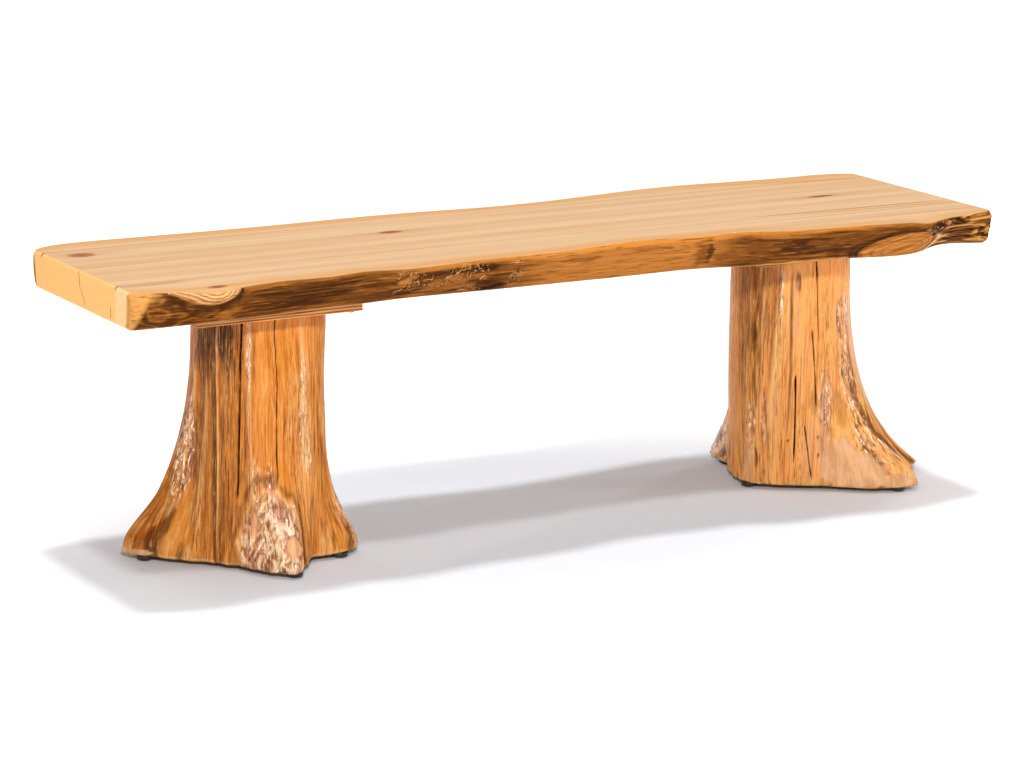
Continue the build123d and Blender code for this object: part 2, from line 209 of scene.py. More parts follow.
class Graph:
    """One material, its node tree and its colour so far, with short calls for the nodes used here."""

    def __init__(self, name):
        self.material = bpy.data.materials.new(name)
        self.material.use_nodes = True
        self.tree = self.material.node_tree
        self.shader = self.tree.nodes["Principled BSDF"]
        self.colour = None

    def feed(self, socket, value):
        """Link a socket, or set its plain value."""
        if isinstance(value, bpy.types.NodeSocket):
            self.tree.links.new(value, socket)
        else:
            socket.default_value = value

    def drive(self, name, value):
        """Feed one of the shader's own sockets."""
        self.feed(self.shader.inputs[name], value)

    def node(self, kind, inputs=(), **settings):
        """New node of a kind with its settings and (input, value) pairs."""
        made = self.tree.nodes.new("ShaderNode" + kind)
        for name, value in settings.items():
            setattr(made, name, value)
        for key, value in inputs:
            self.feed(made.inputs[key], value)
        return made

    def set(self, roughness, specular=0.5, coat=0.0, coat_roughness=0.05, coat_ior=1.5):
        """Plain values of the shader's own sockets."""
        self.drive("Roughness", roughness)
        self.drive("Specular IOR Level", specular)
        self.drive("Coat Weight", coat)
        self.drive("Coat Roughness", coat_roughness)
        self.drive("Coat IOR", coat_ior)

    def place(self):
        """Place on the object, in metres."""
        return self.node("TexCoord").outputs["Object"]

    def parts(self, vector):
        """Three numbers of a vector."""
        return self.node("SeparateXYZ", [(0, vector)]).outputs

    def attribute(self, name, output="Fac"):
        """Value or colour stored on the mesh."""
        return self.node("Attribute", attribute_name=name).outputs[output]

    def stretched(self, vector, scale, offset=(0, 0, 0)):
        """Vector scaled along each axis and then moved."""
        return self.node("Mapping", [(0, vector), ("Location", offset), ("Scale", scale)]).outputs[0]

    def length(self, vector):
        """Length of a vector."""
        return self.node("VectorMath", [(0, vector)], operation="LENGTH").outputs["Value"]

    def noise(self, vector, scale, offset=(0, 0, 0), detail=3.0, roughness=0.55, distortion=0.0):
        """Noise value from 0 to 1 at a vector, with its own scale along each axis."""
        pairs = [
            ("Vector", self.stretched(vector, scale, offset)),
            ("Scale", 1.0),
            ("Detail", detail),
            ("Roughness", roughness),
            ("Distortion", distortion),
        ]
        return self.node("TexNoise", pairs).outputs[0]

    def math(self, operation, a, b=0.0):
        """Result of one arithmetic operation."""
        return self.node("Math", [(0, a), (1, b)], operation=operation).outputs[0]

    def times(self, a, b):
        """Product of two values."""
        return self.math("MULTIPLY", a, b)

    def plus(self, a, b):
        """Sum of two values."""
        return self.math("ADD", a, b)

    def gap(self, a, b):
        """Distance between two values."""
        return self.math("ABSOLUTE", self.math("SUBTRACT", a, b))

    def span(self, value, low, high, to_low=0.0, to_high=1.0):
        """Value mapped smoothly from one range to another, and held there outside it."""
        pairs = [(0, value), (1, low), (2, high), (3, to_low), (4, to_high)]
        return self.node("MapRange", pairs, interpolation_type="SMOOTHSTEP").outputs[0]

    def mix(self, share, first, second, blend="MIX"):
        """Mix of two colours."""
        made = self.node("Mix", [(0, share), (6, first), (7, second)], data_type="RGBA", blend_type=blend)
        return made.outputs[2]

    def paint(self, share, colour, blend="MIX"):
        """Lay a colour over the colour so far, by a share."""
        self.colour = self.mix(share, self.colour, colour, blend)

    def bump(self, height, distance, strength, layer="Normal"):
        """Relief from a height value, on the shader's surface or on its coat."""
        made = self.node("Bump", [("Height", height), ("Distance", distance), ("Strength", strength)])
        self.drive(layer, made.outputs[0])

    def stroke(self, run, aside, start, end, half_width, fade):
        """1 along a straight line between two (run, aside) points, fading past its ends."""
        slope = (end[1] - start[1]) / (end[0] - start[0])
        rise = self.plus(self.times(run, slope), start[1] - slope * start[0])
        line = self.span(self.gap(aside, rise), half_width, half_width * 0.3)
        low, high = sorted((start[0], end[0]))
        begun = self.span(run, low - fade, low + fade)
        unended = self.span(run, high + fade, high - fade)
        return self.times(line, self.times(begun, unended))

    def spot(self, place, centre, radii, edge):
        """1 inside an ellipsoid round centre, falling to 0 at its rim."""
        scale = tuple(1 / radius for radius in radii)
        offset = tuple(-c / radius for c, radius in zip(centre, radii))
        return self.span(self.length(self.stretched(place, scale, offset)), 1.0, edge)


CREAM = srgb(210, 175, 138)
PEACH = srgb(203, 163, 122)
GOLD = srgb(194, 145, 92)
GRAIN_BROWN = srgb(172, 118, 68)
KNOT_RED = srgb(150, 88, 60)
GLUE_BROWN = srgb(92, 52, 24)
SAP_GOLD = srgb(206, 148, 84)
END_GOLD = srgb(248, 188, 112)
END_AMBER = srgb(222, 152, 72)
END_PALE = srgb(250, 199, 140)
EDGE_SHADE = srgb(48, 24, 8)
EDGE_LIGHT = srgb(206, 132, 52)

# Knots on the sawn top: place (x, y), half length, half width, darkness
Knot = namedtuple("Knot", "x y length width depth")
TOP_KNOTS = (
    Knot(-0.713, 0.122, 0.027, 0.020, 0.75),
    Knot(-0.210, 0.076, 0.026, 0.012, 0.85),
    Knot(0.580, 0.034, 0.034, 0.008, 1.0),
    Knot(-0.628, -0.178, 0.020, 0.007, 0.9),
)
KNOT_REACH = 0.02  # of a knot's colour below the top
# A knot's halo, core and heart: share of its length and width, edge of the fade, strength, colour
KNOT_PARTS = (
    (4.5, 1.5, 0.0, 0.4, GRAIN_BROWN),
    (1.0, 1.0, 0.55, 1.0, KNOT_RED),
    (0.5, 0.45, 0.2, 0.5, GLUE_BROWN),
)
# Streaks on the top: two (x, y) ends, half width, fade past the ends, colour, strength
Streak = namedtuple("Streak", "start end half_width fade colour strength")
TOP_STREAKS = (
    Streak((-0.760, -0.127), (-0.660, -0.127), 0.0065, 0.030, GRAIN_BROWN, 0.8),
    Streak((0.377, -0.074), (0.747, -0.088), 0.0050, 0.060, GRAIN_BROWN, 0.9),
    Streak((0.470, -0.092), (0.760, -0.104), 0.0080, 0.060, GOLD, 0.8),
    Streak((0.416, 0.213), (0.758, 0.141), 0.0160, 0.060, SAP_GOLD, 0.7),
    Streak((-0.600, -0.012), (-0.380, -0.012), 0.0040, 0.060, GOLD, 0.5),
    Streak((-0.160, 0.087), (0.160, 0.087), 0.0050, 0.080, GOLD, 0.4),
)
SEAM_HALF_WIDTH = 0.0011
SEAM_NOTCH = (0.009, 0.003, 0.008)  # half sizes of the dark nick where a seam meets the left end
# Drying checks on the left end: two (z, y) ends
END_CHECKS = (
    ((0.470, 0.018), (0.446, 0.014)),
    ((0.447, 0.014), (0.421, -0.006)),
    ((0.437, -0.098), (0.420, -0.099)),
)
CHECK_HALF_WIDTH = 0.0013
CHECK_FADE = 0.003
# Rings on the ends, round a pith above the seat
PITH_Y = -0.03
PITH_Z = TOP + 0.16
RING_SPACING = 0.0170
RING_WARP = 7.0


def paint_grain(pine, place, lines, fibres):
    """Straight grain of the sawn faces, with the streaks of the top."""
    along, across, _ = pine.parts(place)
    wander = pine.noise(place, (1.1, 12, 0), detail=2)
    bands = pine.noise(place, (0.8, 34, 34), distortion=0.3)
    pine.colour = pine.mix(pine.span(bands, 0.35, 0.68), CREAM, PEACH)
    pine.paint(pine.span(wander, 0.5, 0.75, 0, 0.3), GOLD)
    pine.paint(pine.span(lines, 0.54, 0.74, 0, 0.30), GRAIN_BROWN)
    pine.paint(pine.span(fibres, 0.45, 0.8, 0, 0.14), GRAIN_BROWN)
    for streak in TOP_STREAKS:
        stroke = pine.stroke(along, across, streak.start, streak.end, streak.half_width, streak.fade)
        wear = pine.span(lines, 0.3, 0.6, 0.4 * streak.strength, streak.strength)
        pine.paint(pine.times(stroke, wear), streak.colour)
    pine.paint(pine.attribute("sap"), SAP_GOLD)


def paint_knots(pine, place):
    """Knots of the top."""
    for knot in TOP_KNOTS:
        for long_share, wide_share, edge, strength, colour in KNOT_PARTS:
            radii = (knot.length * long_share, knot.width * wide_share, KNOT_REACH)
            inside = pine.spot(place, (knot.x, knot.y, TOP), radii, edge)
            pine.paint(pine.times(inside, strength * knot.depth), colour)


def paint_seams(pine, place, lines):
    """Glue lines. The front one shows at the ends only."""
    along, across, _ = pine.parts(place)
    left = pine.span(along, -0.60, -0.68, 0.10, 0.9)
    right = pine.span(along, 0.30, 0.60, 0.10, 0.7)
    for seam, strength in ((FRONT_SEAM, pine.math("MAXIMUM", left, right)), (BACK_SEAM, 0.75)):
        line = pine.span(pine.gap(across, seam), SEAM_HALF_WIDTH, SEAM_HALF_WIDTH * 0.4)
        worn = pine.times(pine.times(line, strength), pine.span(lines, 0.3, 0.6, 0.5, 1.0))
        pine.paint(worn, GLUE_BROWN)


def end_grain(pine, place):
    """Colour of the sawn ends: faint rings, and drying checks at the left end."""
    along, across, height = pine.parts(place)
    from_pith = pine.length(pine.stretched(place, (0, 1, 1), (0, -PITH_Y, -PITH_Z)))
    warp = pine.times(pine.noise(place, (0, 7, 7), detail=2), RING_WARP)
    rings = pine.math("SINE", pine.plus(pine.times(from_pith, 2 * pi / RING_SPACING), warp))
    colour = pine.mix(pine.span(across, FRONT_SEAM + 0.002, FRONT_SEAM - 0.002), END_GOLD, END_PALE)
    colour = pine.mix(pine.span(rings, -0.2, 1.0, 0, 0.10), colour, END_AMBER)
    for start, end in END_CHECKS:
        crack = pine.stroke(height, across, start, end, CHECK_HALF_WIDTH, CHECK_FADE)
        colour = pine.mix(pine.times(crack, pine.span(along, 0, -0.1)), colour, GLUE_BROWN)
    return colour


def seat_pine():
    """Satin-varnished pine, with a look of its own on the sawn top, the ends and the live edges."""
    pine = Graph("seat_pine")
    place = pine.place()
    lines = pine.noise(place, (1.4, 120, 120), detail=4, roughness=0.6)
    fibres = pine.noise(place, (14, 900, 900), detail=2)
    paint_grain(pine, place, lines, fibres)
    paint_knots(pine, place)
    paint_seams(pine, place, lines)
    at_end = pine.span(pine.math("ABSOLUTE", pine.parts(place)[0]), SEAT_END - 0.004, SEAT_END - 0.001)
    pine.paint(at_end, end_grain(pine, place))
    for seam in (FRONT_SEAM, BACK_SEAM):
        pine.paint(pine.spot(place, (-SEAT_END, seam, TOP), SEAM_NOTCH, 0.3), GLUE_BROWN)
    edge = pine.attribute("edge")
    streak = pine.noise(place, (26, 120, 520), detail=4, roughness=0.65)
    bark = pine.mix(pine.span(streak, 0.48, 0.32, 0, 0.65), pine.attribute("tint", "Color"), EDGE_SHADE)
    bark = pine.mix(pine.span(streak, 0.55, 0.72, 0, 0.35), bark, EDGE_LIGHT)
    pine.paint(edge, bark)
    pine.drive("Base Color", pine.colour)
    pine.set(roughness=0.42, specular=0.0, coat_roughness=0.08, coat_ior=1.4)
    pine.drive("Coat Weight", pine.span(edge, 0, 1, 0.22, 0.07))
    grain = pine.plus(lines, pine.times(fibres, 0.4))
    barky = pine.times(pine.times(edge, streak), 5.0)
    pine.bump(pine.plus(grain, barky), 0.0004, 0.4)
    return pine.material


# Tones that the varnished wood of the stumps takes on, over the tint stored on the mesh, and the near-white
# of painted glints
STRAND_SHADE = srgb(196, 124, 52)
DASH_DARK = srgb(84, 42, 12)
DASH_LIGHT = srgb(238, 176, 98)
HAIR_BROWN = srgb(120, 64, 20)
CURL_GLINT = srgb(255, 226, 192)
CURL_DARK = srgb(112, 56, 18)
BARE_PALE = srgb(228, 178, 134)
BARE_ROSE = srgb(204, 146, 100)
BARE_HAIR = srgb(186, 120, 74)
SAWN_LIGHT = srgb(232, 178, 118)
SAWN_DARK = srgb(178, 112, 60)
STUMP_RING_SPACING = 0.0042


def stump_pine():
    """High-gloss varnish over peeled wood: the tint is on the mesh, grain and wet relief are noise."""
    wood = Graph("stump_pine")
    fibre = wood.attribute("fibre", "Vector")
    gnarl = wood.attribute("gnarl")
    strands = wood.noise(fibre, (22, 22, 7), detail=4, roughness=0.6)
    dashes = wood.noise(fibre, (58, 58, 34), detail=4, roughness=0.68)
    hair = wood.noise(fibre, (150, 150, 45), (5, 2, 1), detail=2)
    curls = wood.noise(fibre, (26, 26, 62), (1, 6, 3), roughness=0.6, distortion=1.0)
    patches = wood.noise(fibre, (5, 5, 3.5), (3, 8, 2), detail=2)
    blush = wood.noise(fibre, (14, 14, 22), (2, 4, 9))
    streaky = wood.span(patches, 0.42, 0.58, 0.30, 1.0)
    wood.colour = wood.attribute("tint", "Color")
    wood.paint(wood.span(strands, 0.50, 0.34, 0, 0.55), STRAND_SHADE, "MULTIPLY")
    wood.paint(wood.times(wood.span(dashes, 0.48, 0.36, 0, 0.72), streaky), DASH_DARK)
    wood.paint(wood.span(dashes, 0.53, 0.66, 0, 0.50), DASH_LIGHT)
    wood.paint(wood.times(wood.span(hair, 0.46, 0.34, 0, 0.45), streaky), HAIR_BROWN)
    # Painted glints: near-white strokes in clusters on the gnarled wood, over pale fibres, where the varnish
    # would catch the lamps
    clustered = wood.times(gnarl, wood.span(strands, 0.40, 0.56, 0.3, 1.0))
    wood.paint(wood.times(clustered, wood.span(curls, 0.53, 0.61, 0, 0.9)), CURL_GLINT)
    wood.paint(wood.times(gnarl, wood.span(curls, 0.48, 0.34, 0, 0.75)), CURL_DARK)
    bare = wood.mix(wood.span(blush, 0.35, 0.65), BARE_PALE, BARE_ROSE)
    bare = wood.mix(wood.span(hair, 0.48, 0.30, 0, 0.5), bare, BARE_HAIR)
    wood.paint(wood.attribute("bare"), bare)
    rings = wood.math("SINE", wood.times(wood.attribute("radial"), 2 * pi / STUMP_RING_SPACING))
    wood.paint(wood.attribute("sawn"), wood.mix(wood.span(rings, 0.2, 1.0, 0, 0.5), SAWN_LIGHT, SAWN_DARK))
    wood.drive("Base Color", wood.colour)
    wood.set(roughness=0.5, specular=0.0, coat_roughness=0.07)
    wood.drive("Coat Weight", wood.span(gnarl, 0, 0.8, 0.34, 1.0))
    wood.drive("Coat IOR", wood.span(gnarl, 0, 0.8, 1.36, 1.45))
    wet = wood.times(gnarl, curls)
    relief = wood.plus(wood.times(strands, 1.2), wood.times(dashes, 0.7))
    wood.bump(wood.plus(relief, wet), 0.0022, 0.75)
    wood.bump(wood.plus(wet, wood.times(strands, 0.25)), 0.0022, 0.7, "Coat Normal")
    return wood.material


PLY_COUNT = 5


def plywood():
    """Varnished plywood: plies show on the plate's edges."""
    ply = Graph("plywood")
    place = ply.place()
    rise = ply.math("SUBTRACT", ply.parts(place)[2], STUMP_TOP)
    depth = ply.times(rise, PLY_COUNT * pi / (UNDERSIDE - STUMP_TOP))
    plies = ply.span(ply.math("SINE", ply.plus(depth, -pi / 2)), -0.5, 0.5)
    grain = ply.noise(place, (12, 160, 160), detail=4)
    light = ply.mix(ply.span(grain, 0.3, 0.7), srgb(214, 150, 88), srgb(178, 116, 62))
    dark = ply.mix(ply.span(grain, 0.3, 0.7), srgb(150, 92, 48), srgb(112, 66, 34))
    ply.drive("Base Color", ply.mix(plies, light, dark))
    ply.set(roughness=0.45, specular=0.05, coat=0.06, coat_roughness=0.15)
    ply.bump(grain, 0.0003, 0.4)
    return ply.material


WORN_METAL = srgb(90, 84, 74)


def metal(name, colour, roughness):
    """Turned or plated metal with faint wear."""
    made = Graph(name)
    wear = made.noise(made.place(), (900, 900, 300))
    made.drive("Base Color", made.mix(made.span(wear, 0.3, 0.8, 0, 0.35), colour, WORN_METAL))
    made.drive("Roughness", made.span(wear, 0.2, 0.8, roughness, roughness + 0.15))
    made.drive("Metallic", 1.0)
    return made.material


def pad_plastic():
    """Dark brown moulded plastic of the glides, with faint scuffs."""
    pad = Graph("pad_plastic")
    scuff = pad.noise(pad.place(), (420, 420, 420), detail=4)
    pad.drive("Base Color", pad.mix(pad.span(scuff, 0.4, 0.8), srgb(34, 24, 20), srgb(70, 54, 46)))
    pad.set(roughness=0.38)
    pad.bump(scuff, 0.0002, 0.5)
    return pad.material


# ---------------------------------------------------------------- forms on a grid
SHARP_FROM = 60         # degrees between faces
PROBE_START = 0.5       # distance from which rays look for the CAD surface
PROBE_INSET = 0.3 * MM  # they stay this far inside its flat ends
SKIN_INSET = 0.8 * MM   # dressed surfaces start this far inside the CAD ones, to leave room for relief

# Factors without a pattern of their own, for repeatable noise
HASH_I = 12.9898
HASH_J = 78.233
HASH_SEED = 37.719
HASH_SCALE = 43758.5453


def lattice(i, j, seed):
    """Repeatable value from 0 to 1 for each cell of an endless grid."""
    wave = np.sin(i * HASH_I + j * HASH_J + seed * HASH_SEED) * HASH_SCALE
    return wave - np.floor(wave)


def rough(u, v, seed, period=None):
    """Smooth noise from -1 to 1. period is the number of cells of u after which it repeats."""
    i = np.floor(u)
    j = np.floor(v)
    s = (u - i) ** 2 * (3 - 2 * (u - i))
    t = (v - j) ** 2 * (3 - 2 * (v - j))
    first = np.mod(i, period) if period else i
    second = np.mod(i + 1, period) if period else i + 1
    low = lattice(first, j, seed) * (1 - s) + lattice(second, j, seed) * s
    high = lattice(first, j + 1, seed) * (1 - s) + lattice(second, j + 1, seed) * s
    return 2 * (low * (1 - t) + high * t) - 1


def layered(u, v, seed, period=None, layers=3):
    """Noise summed over finer and weaker layers."""
    total = 0
    for layer in range(layers):
        scale = 2**layer
        cells = period * scale if period else None
        total = total + rough(u * scale, v * scale, seed + layer, cells) / scale
    return total


def round_noise(azimuth, level, around, per_metre, seed, layers=3):
    """Layered noise round a trunk: cells in a full turn, and cells in a metre of height."""
    return layered(azimuth / 360 * around, level * per_metre, seed, around, layers)


def smooth(value, low, high):
    """0 below low, 1 above high and smooth between. low may be the larger one."""
    share = np.clip((value - low) / (high - low), 0, 1)
    return share * share * (3 - 2 * share)


def hump(value, middle, half_width):
    """Bell round a middle."""
    return np.exp(-(((value - middle) / half_width) ** 2))


def oval_distance(u, v, oval):
    """0 at an oval's centre and 1 on its rim. An oval starts with its centre and its half sizes."""
    return np.hypot((u - oval[0]) / oval[2], (v - oval[1]) / oval[3])


def blurred(grid, sigma, axis, wraps):
    """Grid blurred along one axis, sigma in steps."""
    reach = int(3 * sigma) + 1
    count = grid.shape[axis]
    total = 0
    weight = 0
    for step in range(-reach, reach + 1):
        places = np.arange(count) + step
        places = np.mod(places, count) if wraps else np.clip(places, 0, count - 1)
        share = np.exp(-((step / sigma) ** 2) / 2)
        total = total + share * np.take(grid, places, axis)
        weight += share
    return total / weight


def rounded(grid, sigma, axis, wraps):
    """Grid with its corners rounded off, and broad forms as high as before."""
    once = blurred(grid, sigma, axis, wraps)
    return 2 * once - blurred(once, sigma, axis, wraps)


def surface_of(node):
    """Search tree of a CAD node's surface."""
    mesh = frame["nodes"][node].data
    return BVHTree.FromPolygons([v.co for v in mesh.vertices], [tuple(p.vertices) for p in mesh.polygons])


def extended(grid, count, axis):
    """Grid with its first and last line across an axis repeated."""
    widths = [(0, 0)] * grid.ndim
    widths[axis] = (count, count)
    return np.pad(grid, widths, "edge")


def make_piece(name, points, material, attributes, node):
    """Closed mesh in place of a CAD node, from rings of points with a cap on the first and the last."""
    rows, columns = points.shape[:2]
    index = np.arange(rows * columns).reshape(rows, columns)
    following = np.roll(index, -1, 1)
    quads = np.stack([index[:-1], following[:-1], following[1:], index[1:]], -1).reshape(-1, 4)
    caps = [index[0][::-1].tolist(), index[-1].tolist()]
    mesh = bpy.data.meshes.new(name)
    mesh.from_pydata(points.reshape(-1, 3).tolist(), [], quads.tolist() + caps)
    mesh.validate()
    mesh.polygons.foreach_set("use_smooth", np.ones(len(mesh.polygons), bool))
    for label, (kind, field, values) in attributes.items():
        layer = mesh.attributes.new(label, kind, "POINT")
        layer.data.foreach_set(field, np.ascontiguousarray(values, np.float32).ravel())
    mesh.materials.append(material)
    mesh.update()
    mesh.set_sharp_from_angle(angle=radians(SHARP_FROM))
    piece = bpy.data.objects.new(name, mesh)
    scene.collection.objects.link(piece)
    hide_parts(node)
    return piece


class Skin:
    """Relief in metres and colour of a surface, over one grid."""

    def __init__(self, shape, base):
        self.relief = np.zeros(shape)
        self.colour = np.ones(shape + (3,)) * np.array(base[:3])

    def paint(self, target, share):
        """Move the colour towards a target colour by a share."""
        share = np.clip(share, 0, 1)[..., None]
        self.colour = self.colour * (1 - share) + np.array(target[:3]) * share


def rgba(colour):
    """Colour grid with an opaque alpha."""
    return np.concatenate([colour, np.ones(colour.shape[:-1] + (1,))], -1)


# ---------------------------------------------------------------- seat boards with live edges
EDGE_STEP = 1.25 * MM
EDGE_RISE_STEP = 1.3 * MM
END_EASE = 5 * MM
END_STEPS = 8
END_INSET = END_EASE + 0.4 * MM  # rays stay this far inside the seat's ends
CORNER_EASE = 9 * MM
SAP_WIDTH = 45 * MM
RIM = 6 * MM  # beside the top and the underside, where the relief is weaker
# Places of the columns on a board's top and underside, as shares of the way from seam to live edge
FLAT_SHARES = np.array([0.0, 0.2, 0.4, 0.55, 0.7, 0.8, 0.88, 0.94, 0.975])

BARK_DARK = srgb(58, 29, 10)
BARK_BROWN = srgb(110, 62, 21)
BARK_ORANGE = srgb(182, 114, 50)
BARK_GOLD = srgb(218, 154, 82)
BARK_AMBER = srgb(206, 130, 54)
BARK_BLACK = srgb(30, 14, 6)
BARK_PALE = srgb(228, 178, 118)
BARK_TAN = srgb(206, 150, 96)

# Patches on the front live edge: place (x, z above the underside), half sizes, colour, strength
Patch = namedtuple("Patch", "x z length height colour strength")
FRONT_PATCHES = (
    Patch(-0.735, 0.050, 0.014, 0.008, BARK_GOLD, 0.6),
    Patch(-0.590, 0.036, 0.016, 0.020, BARK_BROWN, 0.7),
    Patch(-0.610, 0.012, 0.020, 0.010, BARK_ORANGE, 0.6),
    Patch(-0.450, 0.030, 0.090, 0.016, BARK_DARK, 0.6),
    Patch(-0.380, 0.012, 0.060, 0.010, BARK_BROWN, 0.7),
    Patch(-0.317, 0.036, 0.012, 0.008, BARK_ORANGE, 0.95),
    Patch(-0.235, 0.020, 0.050, 0.016, BARK_ORANGE, 0.55),
    Patch(-0.184, 0.046, 0.030, 0.006, BARK_DARK, 0.95),
    Patch(-0.150, 0.008, 0.022, 0.005, BARK_BLACK, 0.9),
    Patch(-0.100, 0.014, 0.030, 0.008, BARK_BROWN, 0.5),
    Patch(-0.010, 0.040, 0.030, 0.004, BARK_BROWN, 0.6),
    Patch(0.120, 0.044, 0.034, 0.004, BARK_BROWN, 0.6),
    Patch(0.215, 0.024, 0.016, 0.024, BARK_BROWN, 0.75),
    Patch(0.228, 0.026, 0.006, 0.022, BARK_DARK, 0.8),
    Patch(0.265, 0.018, 0.030, 0.012, BARK_BROWN, 0.6),
    Patch(0.308, 0.032, 0.030, 0.012, BARK_BROWN, 0.8),
    Patch(0.372, 0.034, 0.030, 0.014, BARK_DARK, 0.8),
    Patch(0.430, 0.020, 0.070, 0.010, BARK_DARK, 0.7),
    Patch(0.470, 0.040, 0.040, 0.008, BARK_BROWN, 0.8),
    Patch(0.388, 0, 0.120, 0.003, BARK_GOLD, 0.8),
)
# Oval forms on the front live edge: place (x, z above the underside) and half sizes
Oval = namedtuple("Oval", "x z length height")
SWIRL = Oval(-0.700, 0.022, 0.060, 0.024)
BURL = Oval(0.566, 0.014, 0.074, 0.027)
BURL_LEAN = 0.10
BURL_RIM_X = (0.600, 0.622)  # between these its dark outline gives way to a pale rim
BARK_KNOT = Oval(0.632, 0.043, 0.020, 0.014)
BARK_START = (0.640, 0.655)
# The lobe: ribbons of wood that sag over the edge, long on the left and steep on the right
LOBE_X = -0.640
LOBE_LOW = 0.036
LOBE_LEFT = 0.074
LOBE_RIGHT = 0.044
LOBE_RISE = 0.021
RIBBON_SPACING = 0.0068
CREASE_X = -0.600
CREASE_LEAN = 0.25
# Where scars of bark are left
SCARS = (-0.335, -0.115)
# The barkless left corner: width at the underside, what the top adds to it, and fade
CORNER_WIDTH = 0.006
CORNER_FLARE = 0.022
CORNER_FADE = 0.005
# Where the top edge rolls down: x, half length, depth in mm
Dip = namedtuple("Dip", "x length depth")
FRONT_DIPS = (Dip(-0.640, 0.034, 5), Dip(0.612, 0.026, 4))


def zone(x, low, high, fade=0.03):
    """1 between two places along the seat, fading beyond them."""
    return smooth(x, low - fade, low + fade) * smooth(x, high + fade, high - fade)


def front_edge_look(x, z):
    """Relief and colour of the front live edge. z is the height above the underside."""
    streaks = layered(x * 14, z * 300, 3, layers=4)
    broad = layered(x * 6, z * 70, 4)
    warp = 0.004 * rough(x * 22, z * 60, 5)
    ragged = 0.55 * layered(x * 45, z * 260, 17)
    skin = Skin(x.shape, BARK_BROWN)
    skin.relief = 0.8 * MM * layered(x * 11, z * 38, 11) + 0.6 * MM * layered(x * 18, z * 220, 7)
    light = zone(x, -0.11, 0.26, 0.06)
    warm = zone(x, 0.26, 0.50, 0.05)
    dark = zone(x, -0.57, -0.14, 0.03)
    skin.paint(BARK_ORANGE, light * 0.95 + warm * 0.12)
    skin.paint(BARK_DARK, dark * smooth(broad, 0.35, -0.35) * 0.75)
    skin.paint(BARK_DARK, smooth(streaks, -0.15, 0.75) * (0.75 - 0.55 * light))
    skin.paint(BARK_ORANGE, smooth(streaks, -0.2, -0.9) * 0.5)
    for patch in FRONT_PATCHES:
        away = oval_distance(x, z, patch) + ragged
        skin.paint(patch.colour, smooth(away, 1.3, 0.5) * patch.strength)
    add_swirl(skin, x, z)
    add_scars(skin, x, z)
    # Golden band just under the top edge: wood with a painted highlight of the rounded edge
    rim_highlight = smooth(z + 0.3 * warp, THICKNESS - 0.008, THICKNESS - 0.003)
    skin.paint(BARK_AMBER, rim_highlight * (0.30 + 0.35 * zone(x, -0.30, 0.50, 0.06)))
    add_lobe(skin, x, z, warp)
    add_burl(skin, x, z, warp)
    add_bark(skin, x, z)
    skin.paint(BARK_GOLD, end_corner(x, z) * 0.75)
    return skin


def end_corner(x, z):
    """Share of the barkless rounded corner at the left end, wider at the top."""
    rim = CORNER_WIDTH + CORNER_FLARE * z / THICKNESS
    return smooth(x + SEAT_END - rim, CORNER_FADE, -CORNER_FADE)


def add_swirl(skin, x, z):
    """Dark oval rings of grain at the left end."""
    away = oval_distance(x, z, SWIRL) + 0.25 * layered(x * 30, z * 70, 62)
    bands = np.sin(away * 13 + 2.5 * rough(x * 34, z * 90, 61))
    near = smooth(away, 1.6, 0.7)
    skin.paint(BARK_DARK, near * smooth(bands, -0.4, 0.8) * 0.7)
    skin.paint(BARK_ORANGE, near * smooth(bands, -0.4, -1.0) * 0.3)
    skin.relief += near * bands * 0.35 * MM


def add_lobe(skin, x, z, warp):
    """Pale ribbons of wood that follow a U down the edge and up again, dark below it."""
    aside = x - LOBE_X
    bend = LOBE_LOW + LOBE_RISE * (aside / np.where(aside < 0, LOBE_LEFT, LOBE_RIGHT)) ** 2
    above = z + 0.5 * warp - bend
    near = zone(x, LOBE_X - 0.080, LOBE_X + 0.044, 0.012)
    pale = near * smooth(above, -0.001, 0.003)
    skin.paint(BARK_DARK, near * hump(above, -0.006, 0.006) * 0.8)
    skin.paint(BARK_TAN, pale * 0.92)
    skin.paint(BARK_PALE, pale * smooth(above, 0.008, 0.014) * 0.6)
    ripple = above + 0.8 * warp + 0.002 * rough(x * 30, z * 50, 69)
    ribbon = np.sin(ripple * 2 * pi / RIBBON_SPACING)
    skin.paint(BARK_BROWN, pale * smooth(ribbon, -0.1, 0.8) * 0.75)
    crease = hump(x - CREASE_LEAN * (z - 0.045), CREASE_X, 0.0022) * smooth(z, 0.030, 0.040)
    skin.paint(BARK_BLACK, crease * 0.9)
    trough = near * hump(above, -0.005, 0.004)
    skin.relief += 2.6 * MM * pale - 1.5 * MM * trough - 1.5 * MM * crease


